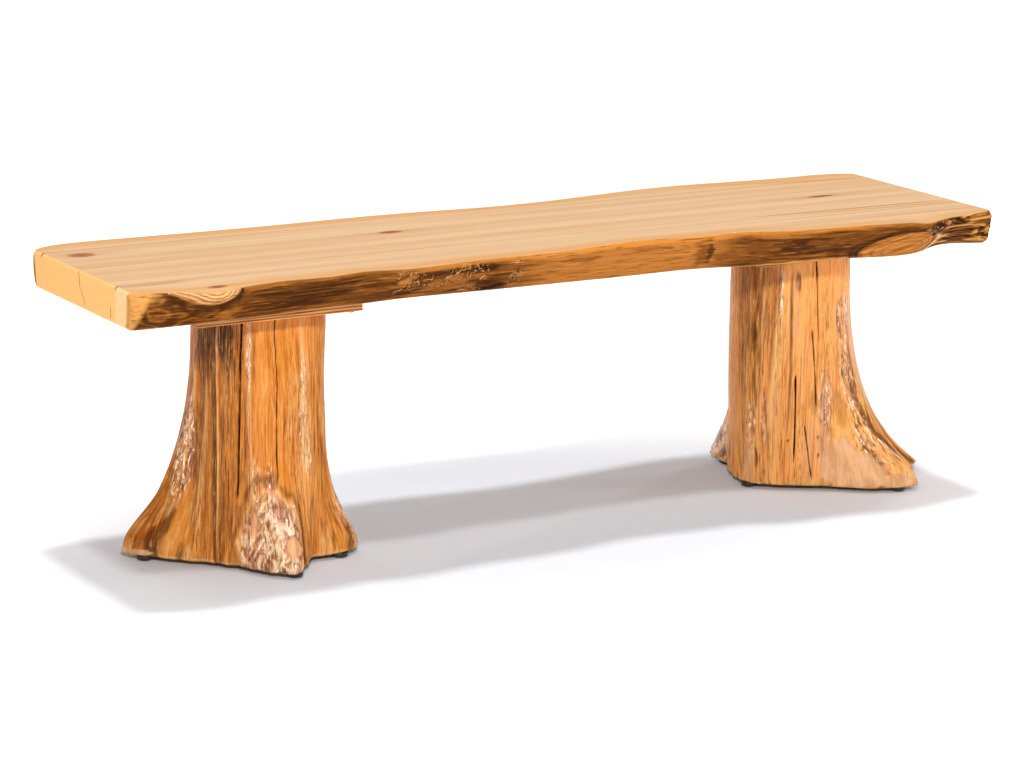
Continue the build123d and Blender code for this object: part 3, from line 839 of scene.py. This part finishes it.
def add_burl(skin, x, z, warp):
    """Orange half lens with fine rings and streaks, a dark outline and a pale rim on its right."""
    aside = x - BURL.x
    leaning = z - BURL_LEAN * aside
    away = oval_distance(x + warp, leaning, BURL)
    inside = smooth(away, 1.03, 0.90)
    around = smooth(away, 1.75, 1.10)
    sweep = np.sin(away * 17 + 2.0 * rough(x * 20, z * 50, 63))
    fine = np.sin(away * 30 + 2.5 * rough(x * 26, z * 70, 65))
    threads = layered(x * 16, (z - 0.25 * aside) * 330, 75)
    right = smooth(x, *BURL_RIM_X)
    outline = hump(away, 1.03, 0.07)
    skin.paint(BARK_DARK, around * smooth(sweep, -0.1, 0.8) * smooth(x, 0.62, 0.60) * 0.75)
    skin.paint(BARK_ORANGE, inside)
    skin.paint(BARK_BROWN, inside * smooth(away, 0.30, 0.55) * smooth(fine, 0.2, 1.0) * 0.55)
    skin.paint(BARK_BROWN, inside * smooth(threads, 0.1, 0.9) * 0.6)
    skin.paint(BARK_GOLD, inside * smooth(threads, -0.2, -0.9) * 0.35)
    skin.paint(BARK_BLACK, outline * (1 - right) * 0.8)
    skin.paint(BARK_PALE, hump(away, 1.10, 0.08) * right)
    skin.paint(BARK_BROWN, hump(away, 0.96, 0.04) * right)
    skin.relief += 3.0 * MM * smooth(away, 1.05, 0.5) + 2.5 * MM * hump(away, 1.12, 0.10) * right
    skin.relief -= 1.2 * MM * outline * (1 - right)


def add_bark(skin, x, z):
    """Rough ridged bark from the burl to the right end, with a curly knot beside the burl."""
    bark = smooth(x, *BARK_START) * smooth(z, -0.002, 0.006)
    ridges = layered(x * 34 + 3 * rough(x * 14, z * 40, 67), z * 250, 23)
    skin.relief += bark * 2.2 * MM * ridges + 5 * MM * smooth(x, 0.66, 0.70) * smooth(z, 0.034, 0.008)
    skin.paint(BARK_BLACK, bark * smooth(ridges, -0.05, -0.5) * 0.95)
    skin.paint(BARK_GOLD, bark * smooth(ridges, 0.10, 0.7) * 0.8)
    knot = smooth(oval_distance(x, z, BARK_KNOT), 1.2, 0.7)
    curls = np.abs(layered(x * 120, z * 190, 71, layers=2))
    skin.paint(BARK_BLACK, knot * 0.9)
    skin.paint(BARK_PALE, knot * smooth(curls, 0.14, 0.04) * 0.8)
    skin.relief += knot * (1.0 * MM - 1.6 * MM * smooth(curls, 0.05, 0.25))


def add_scars(skin, x, z):
    """Curly scars where bark clung, with no order to them."""
    curls = np.abs(layered(x * 85 + 1.5 * rough(x * 40, z * 80, 73), z * 120, 31, layers=2))
    cluster = smooth(rough(x * 26, z * 34, 37), -0.25, 0.2) * zone(x, *SCARS, 0.02)
    worm = smooth(curls, 0.12, 0.03) * cluster
    hollow = hump(curls, 0.22, 0.10) * cluster
    skin.paint(BARK_BLACK, hollow * 0.75)
    skin.paint(BARK_TAN, worm * 0.85)
    skin.relief += 1.0 * MM * worm - 0.8 * MM * hollow


def front_dip(x):
    """How far the front board's top edge rolls down, along the seat."""
    return sum(dip.depth * MM * hump(x, dip.x, dip.length) for dip in FRONT_DIPS)


def no_dip(x):
    """A top edge that stays level."""
    return 0 * x


def back_edge_look(x, z):
    """Relief and colour of the back live edge."""
    streaks = layered(x * 8, z * 200, 41, layers=4)
    skin = Skin(x.shape, BARK_ORANGE)
    skin.relief = 0.9 * MM * layered(x * 9, z * 36, 43)
    skin.paint(BARK_BROWN, smooth(streaks, -0.3, 0.5) * 0.7)
    skin.paint(BARK_DARK, smooth(layered(x * 4, z * 60, 47), 0.2, 0.7) * 0.8)
    # Golden band just under the top edge: wood with a painted highlight of the rounded edge
    skin.paint(BARK_GOLD, smooth(z, THICKNESS - 0.012, THICKNESS - 0.003) * 0.7)
    return skin


def quarter_round(distance, radius):
    """How far a rounded corner draws in, at a distance from the end."""
    short = np.clip(radius - distance, 0, radius)
    return radius - np.sqrt(np.maximum(radius**2 - short**2, 0))


def edge_reach(node, seam, side, x, z):
    """How far a CAD board's live edge stands from its seam at each place, with its facets rounded."""
    surface = surface_of(node)
    probe_x = np.clip(x, -SEAT_END + END_INSET, SEAT_END - END_INSET)
    probe_z = UNDERSIDE + np.clip(z, PROBE_INSET, THICKNESS - PROBE_INSET)
    inward = Vector((0, -side, 0))
    reach = np.zeros((len(x), len(z)))
    for i, px in enumerate(probe_x):
        for j, pz in enumerate(probe_z):
            hit = surface.ray_cast(Vector((px, side * PROBE_START, pz)), inward)[0]
            reach[i, j] = (hit.y - seam) * side
    return rounded(rounded(reach, 3.0, 1, False), 4.0, 0, False)


def live_edge_board(name, node, seam, side, look, dip, material):
    """Outer board. Its grid runs along the seat, and round the section from seam to live edge and back."""
    near_end = SEAT_END - END_EASE * (1 - np.cos(np.linspace(0, pi / 2, END_STEPS)))
    inner = np.linspace(-near_end[-1], near_end[-1], int(2 * near_end[-1] / EDGE_STEP))
    x = np.concatenate([-near_end[:-1], inner, near_end[:-1][::-1]])
    z = np.linspace(0, THICKNESS, int(THICKNESS / EDGE_RISE_STEP))
    grid_x, grid_z = np.meshgrid(x, z, indexing="ij")
    skin = look(grid_x, grid_z)
    rim = smooth(grid_z, 0, RIM) * smooth(grid_z, THICKNESS, THICKNESS - RIM)
    from_end = (SEAT_END - np.abs(x))[:, None]
    face = edge_reach(node, seam, side, x, z) + skin.relief * (0.25 + 0.75 * rim) - SKIN_INSET
    face = face - quarter_round(from_end, CORNER_EASE)
    pinch = 1 - quarter_round(from_end, END_EASE) / (THICKNESS / 2)
    middle = (TOP + UNDERSIDE) / 2
    level = middle + (UNDERSIDE + grid_z - middle) * pinch
    level = level - dip(grid_x) * smooth(grid_z, 0.6 * THICKNESS, THICKNESS)
    count = len(FLAT_SHARES)
    inward = FLAT_SHARES[::-1]
    below = face[:, :1] * FLAT_SHARES
    above = face[:, -1:] * inward
    top = middle + (TOP - middle) * pinch - dip(x)[:, None] * smooth(inward, 0.65, 1.0)
    out = np.concatenate([below, face, above], 1)
    height = np.concatenate([level[:, :1].repeat(count, 1), level, top], 1)
    points = np.stack([x[:, None].repeat(out.shape[1], 1), seam + side * out, height], -1)
    bark = smooth(grid_z, THICKNESS + 0.0010, THICKNESS - 0.0015) * (grid_z > 0)
    bark = np.concatenate([0 * below, bark, 0 * above], 1)
    sap = 0.55 * smooth(face[:, -1:] * (1 - inward), SAP_WIDTH, 0.3 * SAP_WIDTH)
    sap = np.concatenate([0 * below, 0 * face, sap], 1)
    tint = extended(skin.colour, count, 1)
    if side < 0:
        points, bark, sap, tint = (grid[:, ::-1] for grid in (points, bark, sap, tint))
    attributes = {
        "edge": ("FLOAT", "value", bark),
        "sap": ("FLOAT", "value", sap),
        "tint": ("FLOAT_COLOR", "color", rgba(tint)),
    }
    board = make_piece(name, points, material, attributes, node)
    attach(board, "bench")


# ---------------------------------------------------------------- stumps
AZIMUTH_STEP = 0.9
FINE_STEP = 0.3           # beside the drying checks
FINE_REACH = 2.4
MIN_STEP = 0.1            # columns nearer than this are dropped
LEVEL_COUNT = 170
RIM_BEVEL = 6 * MM
RIM_DRAW = 0.8            # share of its full roundness that the foot's rim gets
TOP_BEVEL = 1.5 * MM
TIP_LOSS = 2.5 * MM       # the most that rounding may take from a toe's tip
CREST_REACH = 1.6 * MM    # height over its neighbours at which a crest is palest
CAP_SHARES = np.array([0.04, 0.3, 0.6, 0.85, 0.97])
CAP_LIFT = 0.4 * MM

WOOD_ORANGE = srgb(212, 131, 53)
WOOD_HONEY = srgb(246, 168, 92)
WOOD_AMBER = srgb(190, 110, 34)
WOOD_PALE = srgb(234, 182, 116)
CREAM_AND_GLINT = srgb(248, 212, 168)
WOOD_BROWN = srgb(132, 74, 20)
WOOD_DARK = srgb(54, 27, 8)
WOOD_BLACK = srgb(14, 7, 3)
WOOD_MAUVE = srgb(206, 152, 122)

# Drying checks: top and bottom azimuth, level range above the foot, half width in degrees, depth in mm
Check = namedtuple("Check", "top_azimuth low_azimuth low high half_width depth")
# Stripes and patches: azimuth, level, half sizes in degrees and metres, colour, strength
Mark = namedtuple("Mark", "azimuth level spread rise colour strength")
# Ridges along the trunk: top and bottom azimuth, level range, half width in degrees, height in mm
Ridge = namedtuple("Ridge", "top_azimuth low_azimuth low high half_width height")
# Gnarled places, wet under the varnish: place, half sizes in degrees and metres, knobs in mm
Gnarl = namedtuple("Gnarl", "azimuth level spread rise height")
# A root knob with a clear outline: place, half sizes in degrees and metres, height in mm
Boss = namedtuple("Boss", "azimuth level spread rise height")
# Smooth pale cuts on the roots: place, half sizes in degrees and metres
Bare = namedtuple("Bare", "azimuth level spread rise")
# All that tells one stump from the other: base is its main colour, amber the share of deeper orange and
# dark_side the azimuth where it is darkest
Stump = namedtuple("Stump", "side seed fluting base amber dark_side checks marks ridges gnarls boss bares")

LEFT_CHECKS = (
    Check(228.7, 224.2, 0.105, STUMP_HEIGHT, 1.3, 14),
    Check(259.8, 259.5, 0.130, STUMP_HEIGHT, 0.7, 9),
    Check(215.9, 215.9, 0.085, 0.150, 0.5, 5),
)
LEFT_MARKS = (
    # The first two darken the trunk's top under the seat: partly dark wood, partly a painted shadow of the
    # seat
    Mark(186, 0.345, 12, 0.070, WOOD_DARK, 0.95),
    Mark(208, 0.360, 20, 0.065, WOOD_DARK, 0.95),
    Mark(190, 0.200, 10, 0.160, WOOD_BROWN, 0.45),
    Mark(205, 0.200, 0.9, 0.160, WOOD_PALE, 0.8),
    Mark(210, 0.060, 10, 0.070, WOOD_BROWN, 0.6),
    # These two mauve stripes are a painted reflection: a pinkish streak of varnish sheen down the trunk
    Mark(234.7, 0.340, 2.0, 0.110, WOOD_MAUVE, 0.8),
    Mark(236, 0.180, 1.6, 0.110, WOOD_MAUVE, 0.4),
    Mark(290, 0.200, 16, 0.180, WOOD_HONEY, 0.6),
    # These two pale stripes are painted glints of the varnish
    Mark(287, 0.290, 2.0, 0.120, WOOD_PALE, 0.7),
    Mark(290, 0.200, 4.0, 0.050, WOOD_PALE, 0.7),
    Mark(255, 0.070, 12, 0.030, WOOD_MAUVE, 0.5),
    Mark(158, 0.080, 12, 0.090, WOOD_BROWN, 0.55),
    Mark(345, 0.050, 12, 0.060, WOOD_AMBER, 0.5),
)
LEFT_RIDGES = (
    Ridge(205, 205, 0.030, 0.375, 1.5, 2),
    Ridge(213, 214, 0, 0.340, 3.0, 1.8),
    Ridge(235.5, 236.5, 0.090, 0.375, 2.4, 2.2),
    Ridge(286, 291, 0.140, 0.375, 2.6, 2.2),
    Ridge(193, 186, 0, 0.300, 3.0, 2.4),
    Ridge(178, 166, 0.040, 0.330, 4.0, 3),
    Ridge(247, 248, 0.110, 0.375, 4.0, 1),
    Ridge(271, 273, 0, 0.375, 5.0, 1.4),
    Ridge(308, 338, 0, 0.300, 4.0, 2.5),
    Ridge(200, 203, 0, 0.200, 2.0, -2.5),
    Ridge(277, 278, 0, 0.110, 0.9, -3),
    Ridge(60, 66, 0, 0.360, 7.0, 2.5),
    Ridge(95, 100, 0, 0.360, 5.0, 2),
    Ridge(140, 132, 0, 0.360, 6.0, 2.5),
    Ridge(20, 15, 0, 0.360, 6.0, 2),
)
LEFT_BOSS = Boss(250, 0.034, 24, 0.090, 7)
LEFT_BARES = (
    Bare(264, 0.040, 5, 0.018),
    Bare(240, 0.070, 3, 0.020),
    Bare(163, 0.006, 6, 0.005),
    Bare(337, 0.006, 8, 0.005),
)
LEFT_GNARLS = (
    Gnarl(252, 0.045, 19, 0.065, 3),
    Gnarl(171, 0.175, 9, 0.085, 2.5),
    Gnarl(287, 0.245, 5, 0.080, 1),
    Gnarl(294, 0.170, 5, 0.040, 1.2),
    Gnarl(252, 0.140, 5, 0.020, 1),
    Gnarl(340, 0.060, 14, 0.055, 2),
    Gnarl(235, 0.335, 2, 0.060, 0.5),
    Gnarl(241, 0.135, 4, 0.030, 1),
)
RIGHT_RIDGES = (
    Ridge(229, 219, 0.120, 0.375, 2.0, 3),
    Ridge(238, 240, 0.060, 0.375, 2.5, -2),
    Ridge(251, 254, 0.020, 0.375, 4.0, 1.6),
    Ridge(212, 208, 0.030, 0.375, 3.0, 2),
    Ridge(196, 192, 0, 0.375, 4.0, 2.2),
    Ridge(280, 296, 0, 0.300, 6.0, 2),
    Ridge(297, 312, 0, 0.330, 2.5, 2.5),
    Ridge(303, 317, 0, 0.190, 2.6, -8),
    Ridge(310, 326, 0, 0.200, 3.0, 4),
    Ridge(20, 15, 0, 0.360, 6.0, 2),
    Ridge(60, 66, 0, 0.360, 5.0, 2),
    Ridge(140, 135, 0, 0.360, 6.0, 2.5),
)
RIGHT_BOSS = Boss(104, 0.020, 16, 0.040, 2)
RIGHT_BARES = (
    Bare(289, 0.042, 14, 0.042),
    Bare(194, 0.030, 5, 0.034),
    Bare(304, 0.012, 9, 0.010),
    Bare(318, 0.030, 4, 0.014),
)
RIGHT_GNARLS = (
    Gnarl(300, 0.275, 11, 0.045, 1.8),
    Gnarl(302, 0.180, 9, 0.070, 1.8),
    Gnarl(303, 0.080, 8, 0.055, 2),
    Gnarl(276, 0.150, 7, 0.050, 0.8),
    Gnarl(199, 0.100, 6, 0.045, 1.2),
    Gnarl(213, 0.110, 3, 0.050, 0.8),
    Gnarl(228, 0.330, 2, 0.045, 0.5),
    Gnarl(104, 0.040, 10, 0.040, 2.5),
)
RIGHT_CHECKS = (
    Check(262.0, 267.0, 0.246, STUMP_HEIGHT, 1.2, 12),
    Check(260.0, 267.2, 0.135, 0.265, 1.3, 11),
    Check(244.6, 246.5, 0.038, 0.190, 1.3, 12),
    Check(255.7, 267.1, 0.011, 0.104, 1.1, 8),
)
RIGHT_MARKS = (
    Mark(190, 0.330, 14, 0.120, WOOD_BROWN, 0.6),
    Mark(201, 0.247, 6, 0.030, WOOD_DARK, 0.7),
    Mark(215, 0.300, 9, 0.110, WOOD_BROWN, 0.45),
    Mark(226.5, 0.310, 1.6, 0.080, WOOD_DARK, 0.6),
    Mark(229, 0.290, 0.9, 0.100, WOOD_PALE, 0.8),
    Mark(244.5, 0.347, 2.5, 0.016, WOOD_DARK, 0.85),
    Mark(244.0, 0.295, 2.2, 0.045, WOOD_MAUVE, 0.75),
    Mark(224, 0.130, 4, 0.070, WOOD_MAUVE, 0.45),
    Mark(206, 0.080, 3, 0.080, WOOD_PALE, 0.6),
    Mark(214, 0.120, 12, 0.120, WOOD_HONEY, 0.8),
    Mark(219, 0.080, 7, 0.080, WOOD_PALE, 0.4),
    Mark(262, 0.060, 9, 0.060, WOOD_MAUVE, 0.35),
    Mark(225, 0.220, 2, 0.120, WOOD_PALE, 0.55),
    Mark(236, 0.330, 2, 0.060, WOOD_PALE, 0.6),
    Mark(250, 0.200, 3, 0.150, WOOD_PALE, 0.35),
    Mark(276, 0.110, 5, 0.060, WOOD_MAUVE, 0.5),
    Mark(112, 0.016, 3, 0.008, WOOD_BLACK, 0.9),
    Mark(238.8, 0.080, 1.2, 0.003, WOOD_BLACK, 0.9),
    Mark(270.2, 0.085, 0.9, 0.003, WOOD_BLACK, 0.9),
    Mark(271.4, 0.054, 0.9, 0.003, WOOD_BLACK, 0.9),
)


def gnarled(azimuth, level, stump):
    """Share from 0 to 1 of gnarled wood, and its knobs in metres."""
    share = 0
    knobs = 0
    folds = 1 - 2 * np.abs(round_noise(azimuth, level, 90, 42, stump.seed + 9, layers=2))
    for gnarl in stump.gnarls:
        weight = hump(oval_distance(azimuth, level, gnarl), 0, 1)
        share = np.maximum(share, smooth(weight, 0.15, 0.6))
        knobs = knobs + weight * gnarl.height * MM * folds
    return share, knobs


BOSS_REACH = 0.17  # from the trunk's axis to the root knob's face


def add_boss(skin, azimuth, level, stump):
    """Root knob with a pale outline, dark ground round it and crossed strokes over it; the strokes' cream
    tops are pale wood with painted glints.
    """
    boss = stump.boss
    seed = stump.seed
    turn = azimuth / 360
    away = oval_distance(azimuth, level, boss) + 0.10 * layered(turn * 60, level * 30, seed + 50)
    inside = smooth(away, 1.06, 0.86)
    girth = turn * 2 * pi * BOSS_REACH
    rising = layered((1.4 * girth - level) * 115, (girth + level) * 34, seed + 51, layers=2)
    falling = layered((0.8 * girth + level) * 115, (level - girth) * 34, seed + 53, layers=2)
    strokes = np.maximum(rising, falling)
    skin.relief += inside * (boss.height + 1.8 * strokes) * MM
    skin.paint(WOOD_MAUVE, inside * 0.45)
    skin.paint(WOOD_BROWN, inside * smooth(strokes, 0.18, -0.15) * 0.75)
    # Cream tops of the strokes: pale wood with painted glints
    skin.paint(CREAM_AND_GLINT, inside * smooth(strokes, 0.38, 0.62) * 0.9)
    skin.paint(WOOD_DARK, hump(away, 1.15, 0.07) * 0.55)
    skin.paint(WOOD_PALE, hump(away, 0.97, 0.05) * 0.75)


def along_line(line, azimuth, level):
    """Distance in degrees from a line that leans from its low azimuth to its top azimuth."""
    share = np.clip((level - line.low) / (line.high - line.low), 0, 1)
    return azimuth - (line.low_azimuth + (line.top_azimuth - line.low_azimuth) * share)


def stump_relief(azimuth, level, stump):
    """Flutes, ridges and fibres over the plain flare, in metres."""
    seed = stump.seed
    fluting = stump.fluting
    relief = fluting * round_noise(azimuth, level, 36, 4, seed, layers=1)
    relief += 0.5 * fluting * round_noise(azimuth, level, 120, 9, seed + 1, layers=1)
    relief += 0.3 * MM * round_noise(azimuth, level, 200, 40, seed + 2, layers=1)
    relief += smooth(level, 0.16, 0.02) * 1.8 * MM * round_noise(azimuth, level, 60, 22, seed + 5)
    for ridge in stump.ridges:
        wander = 0.8 * rough(level * 14, level * 0 + ridge.low_azimuth, seed + 3)
        ends = smooth(level, ridge.low - 0.03, ridge.low + 0.03)
        ends = ends * smooth(level, ridge.high + 0.02, ridge.high - 0.04)
        aside = along_line(ridge, azimuth, level) + wander
        relief += ridge.height * MM * ends * hump(aside, 0, ridge.half_width)
    return relief


def paint_stump(skin, azimuth, level, stump):
    """Colour of the peeled wood, with stripes along the trunk, painted shade in the hollows and pale crests,
    partly wear and partly painted highlight.
    """
    seed = stump.seed
    wide = round_noise(azimuth, level, 44, 4, seed + 20)
    thin = round_noise(azimuth, level, 150, 14, seed + 30)
    blotch = round_noise(azimuth, level, 26, 14, seed + 35)
    ragged = 0.45 * round_noise(azimuth, level, 170, 26, seed + 40)
    skin.paint(WOOD_AMBER, smooth(wide, -0.2, 0.7) * stump.amber)
    skin.paint(WOOD_BROWN, smooth(blotch, 0.45, 1.1) * 0.45)
    skin.paint(WOOD_PALE, smooth(thin, 0.45, 1.2) * 0.55)
    side = hump(azimuth, stump.dark_side, 26) * smooth(level, 0.02, 0.2)
    skin.paint(WOOD_BROWN, side * (0.15 + 0.65 * smooth(thin, -0.3, 0.3)))
    skin.paint(WOOD_DARK, side * smooth(thin, -0.1, -0.8) * 0.7)
    for mark in stump.marks:
        away = oval_distance(azimuth, level, mark) + ragged
        skin.paint(mark.colour, smooth(away, 1.3, 0.45) * mark.strength)
    skin.paint(WOOD_PALE, smooth(level, 0.007, 0.0035) * 0.9)
    # Painted shade darkens the hollows of the relief, and painted highlight, with some wear, pales its
    # crests
    crest = (skin.relief - blurred(skin.relief, 6.0, 1, True)) / CREST_REACH
    skin.paint(WOOD_DARK, smooth(crest, -0.15, -1.0) * 0.75)
    skin.paint(WOOD_PALE, smooth(crest, 0.25, 1.0) * 0.45)


def check_line(check, azimuth, level, seed):
    """1 along a drying check's line and 0 away from it. A check that reaches the top doesn't taper there."""
    aside = along_line(check, azimuth, level) - 0.45 * rough(level * 28, level * 0 + 0.5, seed)
    width = check.half_width * (0.75 + 0.35 * rough(level * 45, level * 0 + 1.5, seed + 1))
    ends = smooth(level, check.low - 0.004, check.low + 0.02)
    if check.high < STUMP_HEIGHT:
        ends = ends * smooth(level, check.high + 0.006, check.high - 0.01)
    return np.clip(1 - np.abs(aside) / np.maximum(width, 0.05), 0, 1) * ends


INSERT_COVER = 9.5 * MM  # wood that the surface keeps outside an insert's axis
COVER_FADE = 0.07        # height above the inserts over which the extra radius dies out
COVER_PROBE = 3.5        # degrees beside an insert in which its cover is measured
COVER_SPREAD = 9         # degrees over which the extra radius dies out sideways
GROOVE_STEPS = 3         # columns on each side over which a groove counts as closed


def insert_cover(side, axis, radius, azimuth, level):
    """Extra radius over the threaded inserts, where the smoothed toe would bare them."""
    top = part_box(f"glide_inserts_{side}")[1].z - FOOT
    extra = 0
    for name in frame["nodes"]:
        if name.startswith(f"glide_stem_{side}"):
            low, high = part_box(name)
            aside = (low + high) / 2 - axis
            turn = np.degrees(np.arctan2(aside.y, aside.x)) % 360
            needed = np.hypot(aside.x, aside.y) + INSERT_COVER
            apart = np.abs((azimuth - turn + 180) % 360 - 180)
            lack = np.clip(needed - np.where(apart < COVER_PROBE, radius, np.inf).min(1), 0, None)
            at_top = lack[level[:, 0] < top][-1]
            lack = np.where(level[:, 0] < top, lack, at_top * smooth(level[:, 0], top + COVER_FADE, top))
            extra = extra + blurred(lack[:, None], 3.0, 0, False) * hump(apart, 0, COVER_SPREAD)
    return extra


def bare_share(azimuth, level, stump):
    """Share from 0 to 1 of smooth pale cuts."""
    share = 0 * azimuth
    ragged = 0.25 * round_noise(azimuth, level, 90, 40, stump.seed + 80)
    for bare in stump.bares:
        away = oval_distance(azimuth, level, bare) + ragged
        share = np.maximum(share, smooth(away, 1.08, 0.92))
    return share


def cast_stump(node, axis, azimuths, levels):
    """Radius of the CAD stump at each level and azimuth, its check grooves closed and corners rounded."""
    surface = surface_of(node)
    radius = np.zeros((len(levels), len(azimuths)))
    for j, level in enumerate(np.clip(levels, PROBE_INSET, STUMP_HEIGHT - PROBE_INSET)):
        for i, azimuth in enumerate(np.radians(azimuths)):
            outward = Vector((cos(azimuth), sin(azimuth), 0))
            start = Vector((axis.x, axis.y, FOOT + level)) + outward * PROBE_START
            hit = surface.ray_cast(start, -outward)[0]
            radius[j, i] = np.hypot(hit.x - axis.x, hit.y - axis.y)
    steps = range(-GROOVE_STEPS, GROOVE_STEPS + 1)
    wide = np.max([np.roll(radius, step, 1) for step in steps], 0)
    closed = np.min([np.roll(wide, step, 1) for step in steps], 0)
    soft = blurred(rounded(closed, 4.0, 1, True), 2.0, 0, False)
    return blurred(np.maximum(soft, closed - TIP_LOSS), 1.2, 1, True)


def stump_columns(stump, even):
    """Azimuths of a stump's columns: even ones, and finer ones beside the checks."""
    ends = [azimuth for check in stump.checks for azimuth in (check.top_azimuth, check.low_azimuth)]
    fine = [np.arange(-FINE_REACH, FINE_REACH, FINE_STEP) + azimuth for azimuth in ends]
    azimuths = np.unique(np.round(np.concatenate([even] + fine), 2))
    return azimuths[np.concatenate([[True], np.diff(azimuths) > MIN_STEP])]


def stump_skin(stump, azimuth, level):
    """Relief and colour of a stump, and its shares of gnarled and of bare wood."""
    gnarl, knobs = gnarled(azimuth, level, stump)
    skin = Skin(azimuth.shape, stump.base)
    skin.relief = stump_relief(azimuth, level, stump) + knobs
    paint_stump(skin, azimuth, level, stump)
    add_boss(skin, azimuth, level, stump)
    bare = 0.9 * bare_share(azimuth, level, stump)
    skin.relief *= 1 - 0.7 * bare
    gnarl = gnarl * (1 - bare)
    for number, check in enumerate(stump.checks):
        line = check_line(check, azimuth, level, stump.seed + 60 + 2 * number)
        skin.relief -= check.depth * MM * line
        skin.paint(WOOD_BLACK, smooth(line, 0.02, 0.35) * 0.97)
        bare = bare * smooth(line, 0.3, 0.0)
    return skin, gnarl, bare


def make_stump(stump, material):
    """Stump with its foot and top closed, in place of the CAD one."""
    node = f"stump_{stump.side}"
    low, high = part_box(f"stump_screws_{stump.side}")
    axis = (low + high) / 2
    even = np.arange(0, 360, AZIMUTH_STEP)
    levels = np.linspace(0, STUMP_HEIGHT, LEVEL_COUNT)
    azimuths = stump_columns(stump, even)
    closed = cast_stump(node, axis, even, levels)
    radius = np.stack([np.interp(azimuths, even, row, period=360) for row in closed])
    azimuth, level = np.meshgrid(azimuths, levels)
    skin, gnarl, bare = stump_skin(stump, azimuth, level)
    radius = radius + skin.relief - SKIN_INSET
    radius += insert_cover(stump.side, axis, radius, azimuth, level)
    radius -= quarter_round(level, RIM_BEVEL) * RIM_DRAW
    radius -= quarter_round(STUMP_HEIGHT - level, TOP_BEVEL)
    count = len(CAP_SHARES)
    shares = CAP_SHARES[:, None]
    rings = np.concatenate([shares * radius[:1], radius, shares[::-1] * radius[-1:]])
    heights = np.concatenate([np.full(count, CAP_LIFT), levels, np.full(count, STUMP_HEIGHT)])
    sawn = np.ones(rings.shape)
    sawn[count:-count] = 0
    turn = np.radians(azimuths)
    east = np.cos(turn) * np.ones(rings.shape)
    north = np.sin(turn) * np.ones(rings.shape)
    rise = heights[:, None].repeat(len(azimuths), 1)
    points = np.stack([axis.x + rings * east, axis.y + rings * north, FOOT + rise], -1)
    attributes = {
        "tint": ("FLOAT_COLOR", "color", rgba(extended(skin.colour, count, 0))),
        "sawn": ("FLOAT", "value", sawn),
        "bare": ("FLOAT", "value", extended(bare, count, 0)),
        "gnarl": ("FLOAT", "value", extended(gnarl, count, 0)),
        "radial": ("FLOAT", "value", rings),
        "fibre": ("FLOAT_VECTOR", "vector", np.stack([east, north, rise], -1)),
    }
    piece = make_piece(f"log_{stump.side}", points, material, attributes, node)
    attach(piece, "bench")


# ---------------------------------------------------------------- glide pads
PAD_SEGMENTS = 48
PAD_TURNS = np.linspace(0, 2 * pi, PAD_SEGMENTS, endpoint=False)
DOME_STEPS = 9
SOLE_SHARE = 0.3  # of the radius, where the dome starts
DOME_RISE = 0.62  # of the height
# The pad above its dome: shares of its radius and height
PAD_SHOULDER = ((1, 0.86), (0.97, 0.97), (0.92, 1), (0.5, 1))


def make_pad(side, corner, material):
    """Round pad with a domed sole, in place of the CAD one."""
    node = f"glide_pad_{side}_{corner}"
    low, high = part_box(node)
    middle = (low + high) / 2
    radius = (high.x - low.x) / 2
    height = high.z - low.z
    turns = np.linspace(0, pi / 2, DOME_STEPS)
    dome = [(SOLE_SHARE + (1 - SOLE_SHARE) * sin(t), DOME_RISE * (1 - cos(t))) for t in turns]
    share, rise = np.array([(SOLE_SHARE / 2, 0), *dome, *PAD_SHOULDER]).T[..., None]
    east = middle.x + share * radius * np.cos(PAD_TURNS)
    north = middle.y + share * radius * np.sin(PAD_TURNS)
    points = np.stack([east, north, low.z + rise * height + 0 * PAD_TURNS], -1)
    pad = make_piece(f"pad_{side}_{corner}", points, material, {}, node)
    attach(pad, f"glide_{side}_{corner}")


# ---------------------------------------------------------------- build the scene
make_camera()
make_lights()
make_floor()

PINE = seat_pine()
STUMP_WOOD = stump_pine()
PAD_PLASTIC = pad_plastic()
NODE_MATERIALS = {
    "seat_board": PINE,
    "mounting_plate": plywood(),
    "stump_screws": metal("zinc", srgb(196, 190, 176), 0.3),
    "seat_screws": metal("zinc_heads", srgb(124, 104, 74), 0.4),
    "glide_inserts": metal("brass", srgb(206, 164, 92), 0.3),
    "glide_stem": metal("stud_steel", srgb(178, 178, 178), 0.28),
}
for name, cad_node in frame["nodes"].items():
    for prefix, material in NODE_MATERIALS.items():
        if name.startswith(prefix):
            cad_node.data.materials.clear()
            cad_node.data.materials.append(material)

live_edge_board("front_board", "seat_board_front", FRONT_SEAM, -1, front_edge_look, front_dip, PINE)
live_edge_board("back_board", "seat_board_back", BACK_SEAM, 1, back_edge_look, no_dip, PINE)

LEFT_FORMS = (LEFT_CHECKS, LEFT_MARKS, LEFT_RIDGES, LEFT_GNARLS, LEFT_BOSS, LEFT_BARES)
RIGHT_FORMS = (RIGHT_CHECKS, RIGHT_MARKS, RIGHT_RIDGES, RIGHT_GNARLS, RIGHT_BOSS, RIGHT_BARES)
make_stump(Stump("left", 100, 1.5 * MM, WOOD_ORANGE, 0.6, 195, *LEFT_FORMS), STUMP_WOOD)
make_stump(Stump("right", 300, 1.1 * MM, WOOD_HONEY, 0.2, 196, *RIGHT_FORMS), STUMP_WOOD)

for body in frame["bodies"]:
    if body.startswith("glide_"):
        _, pad_side, pad_corner = body.split("_")
        make_pad(pad_side, pad_corner, PAD_PLASTIC)
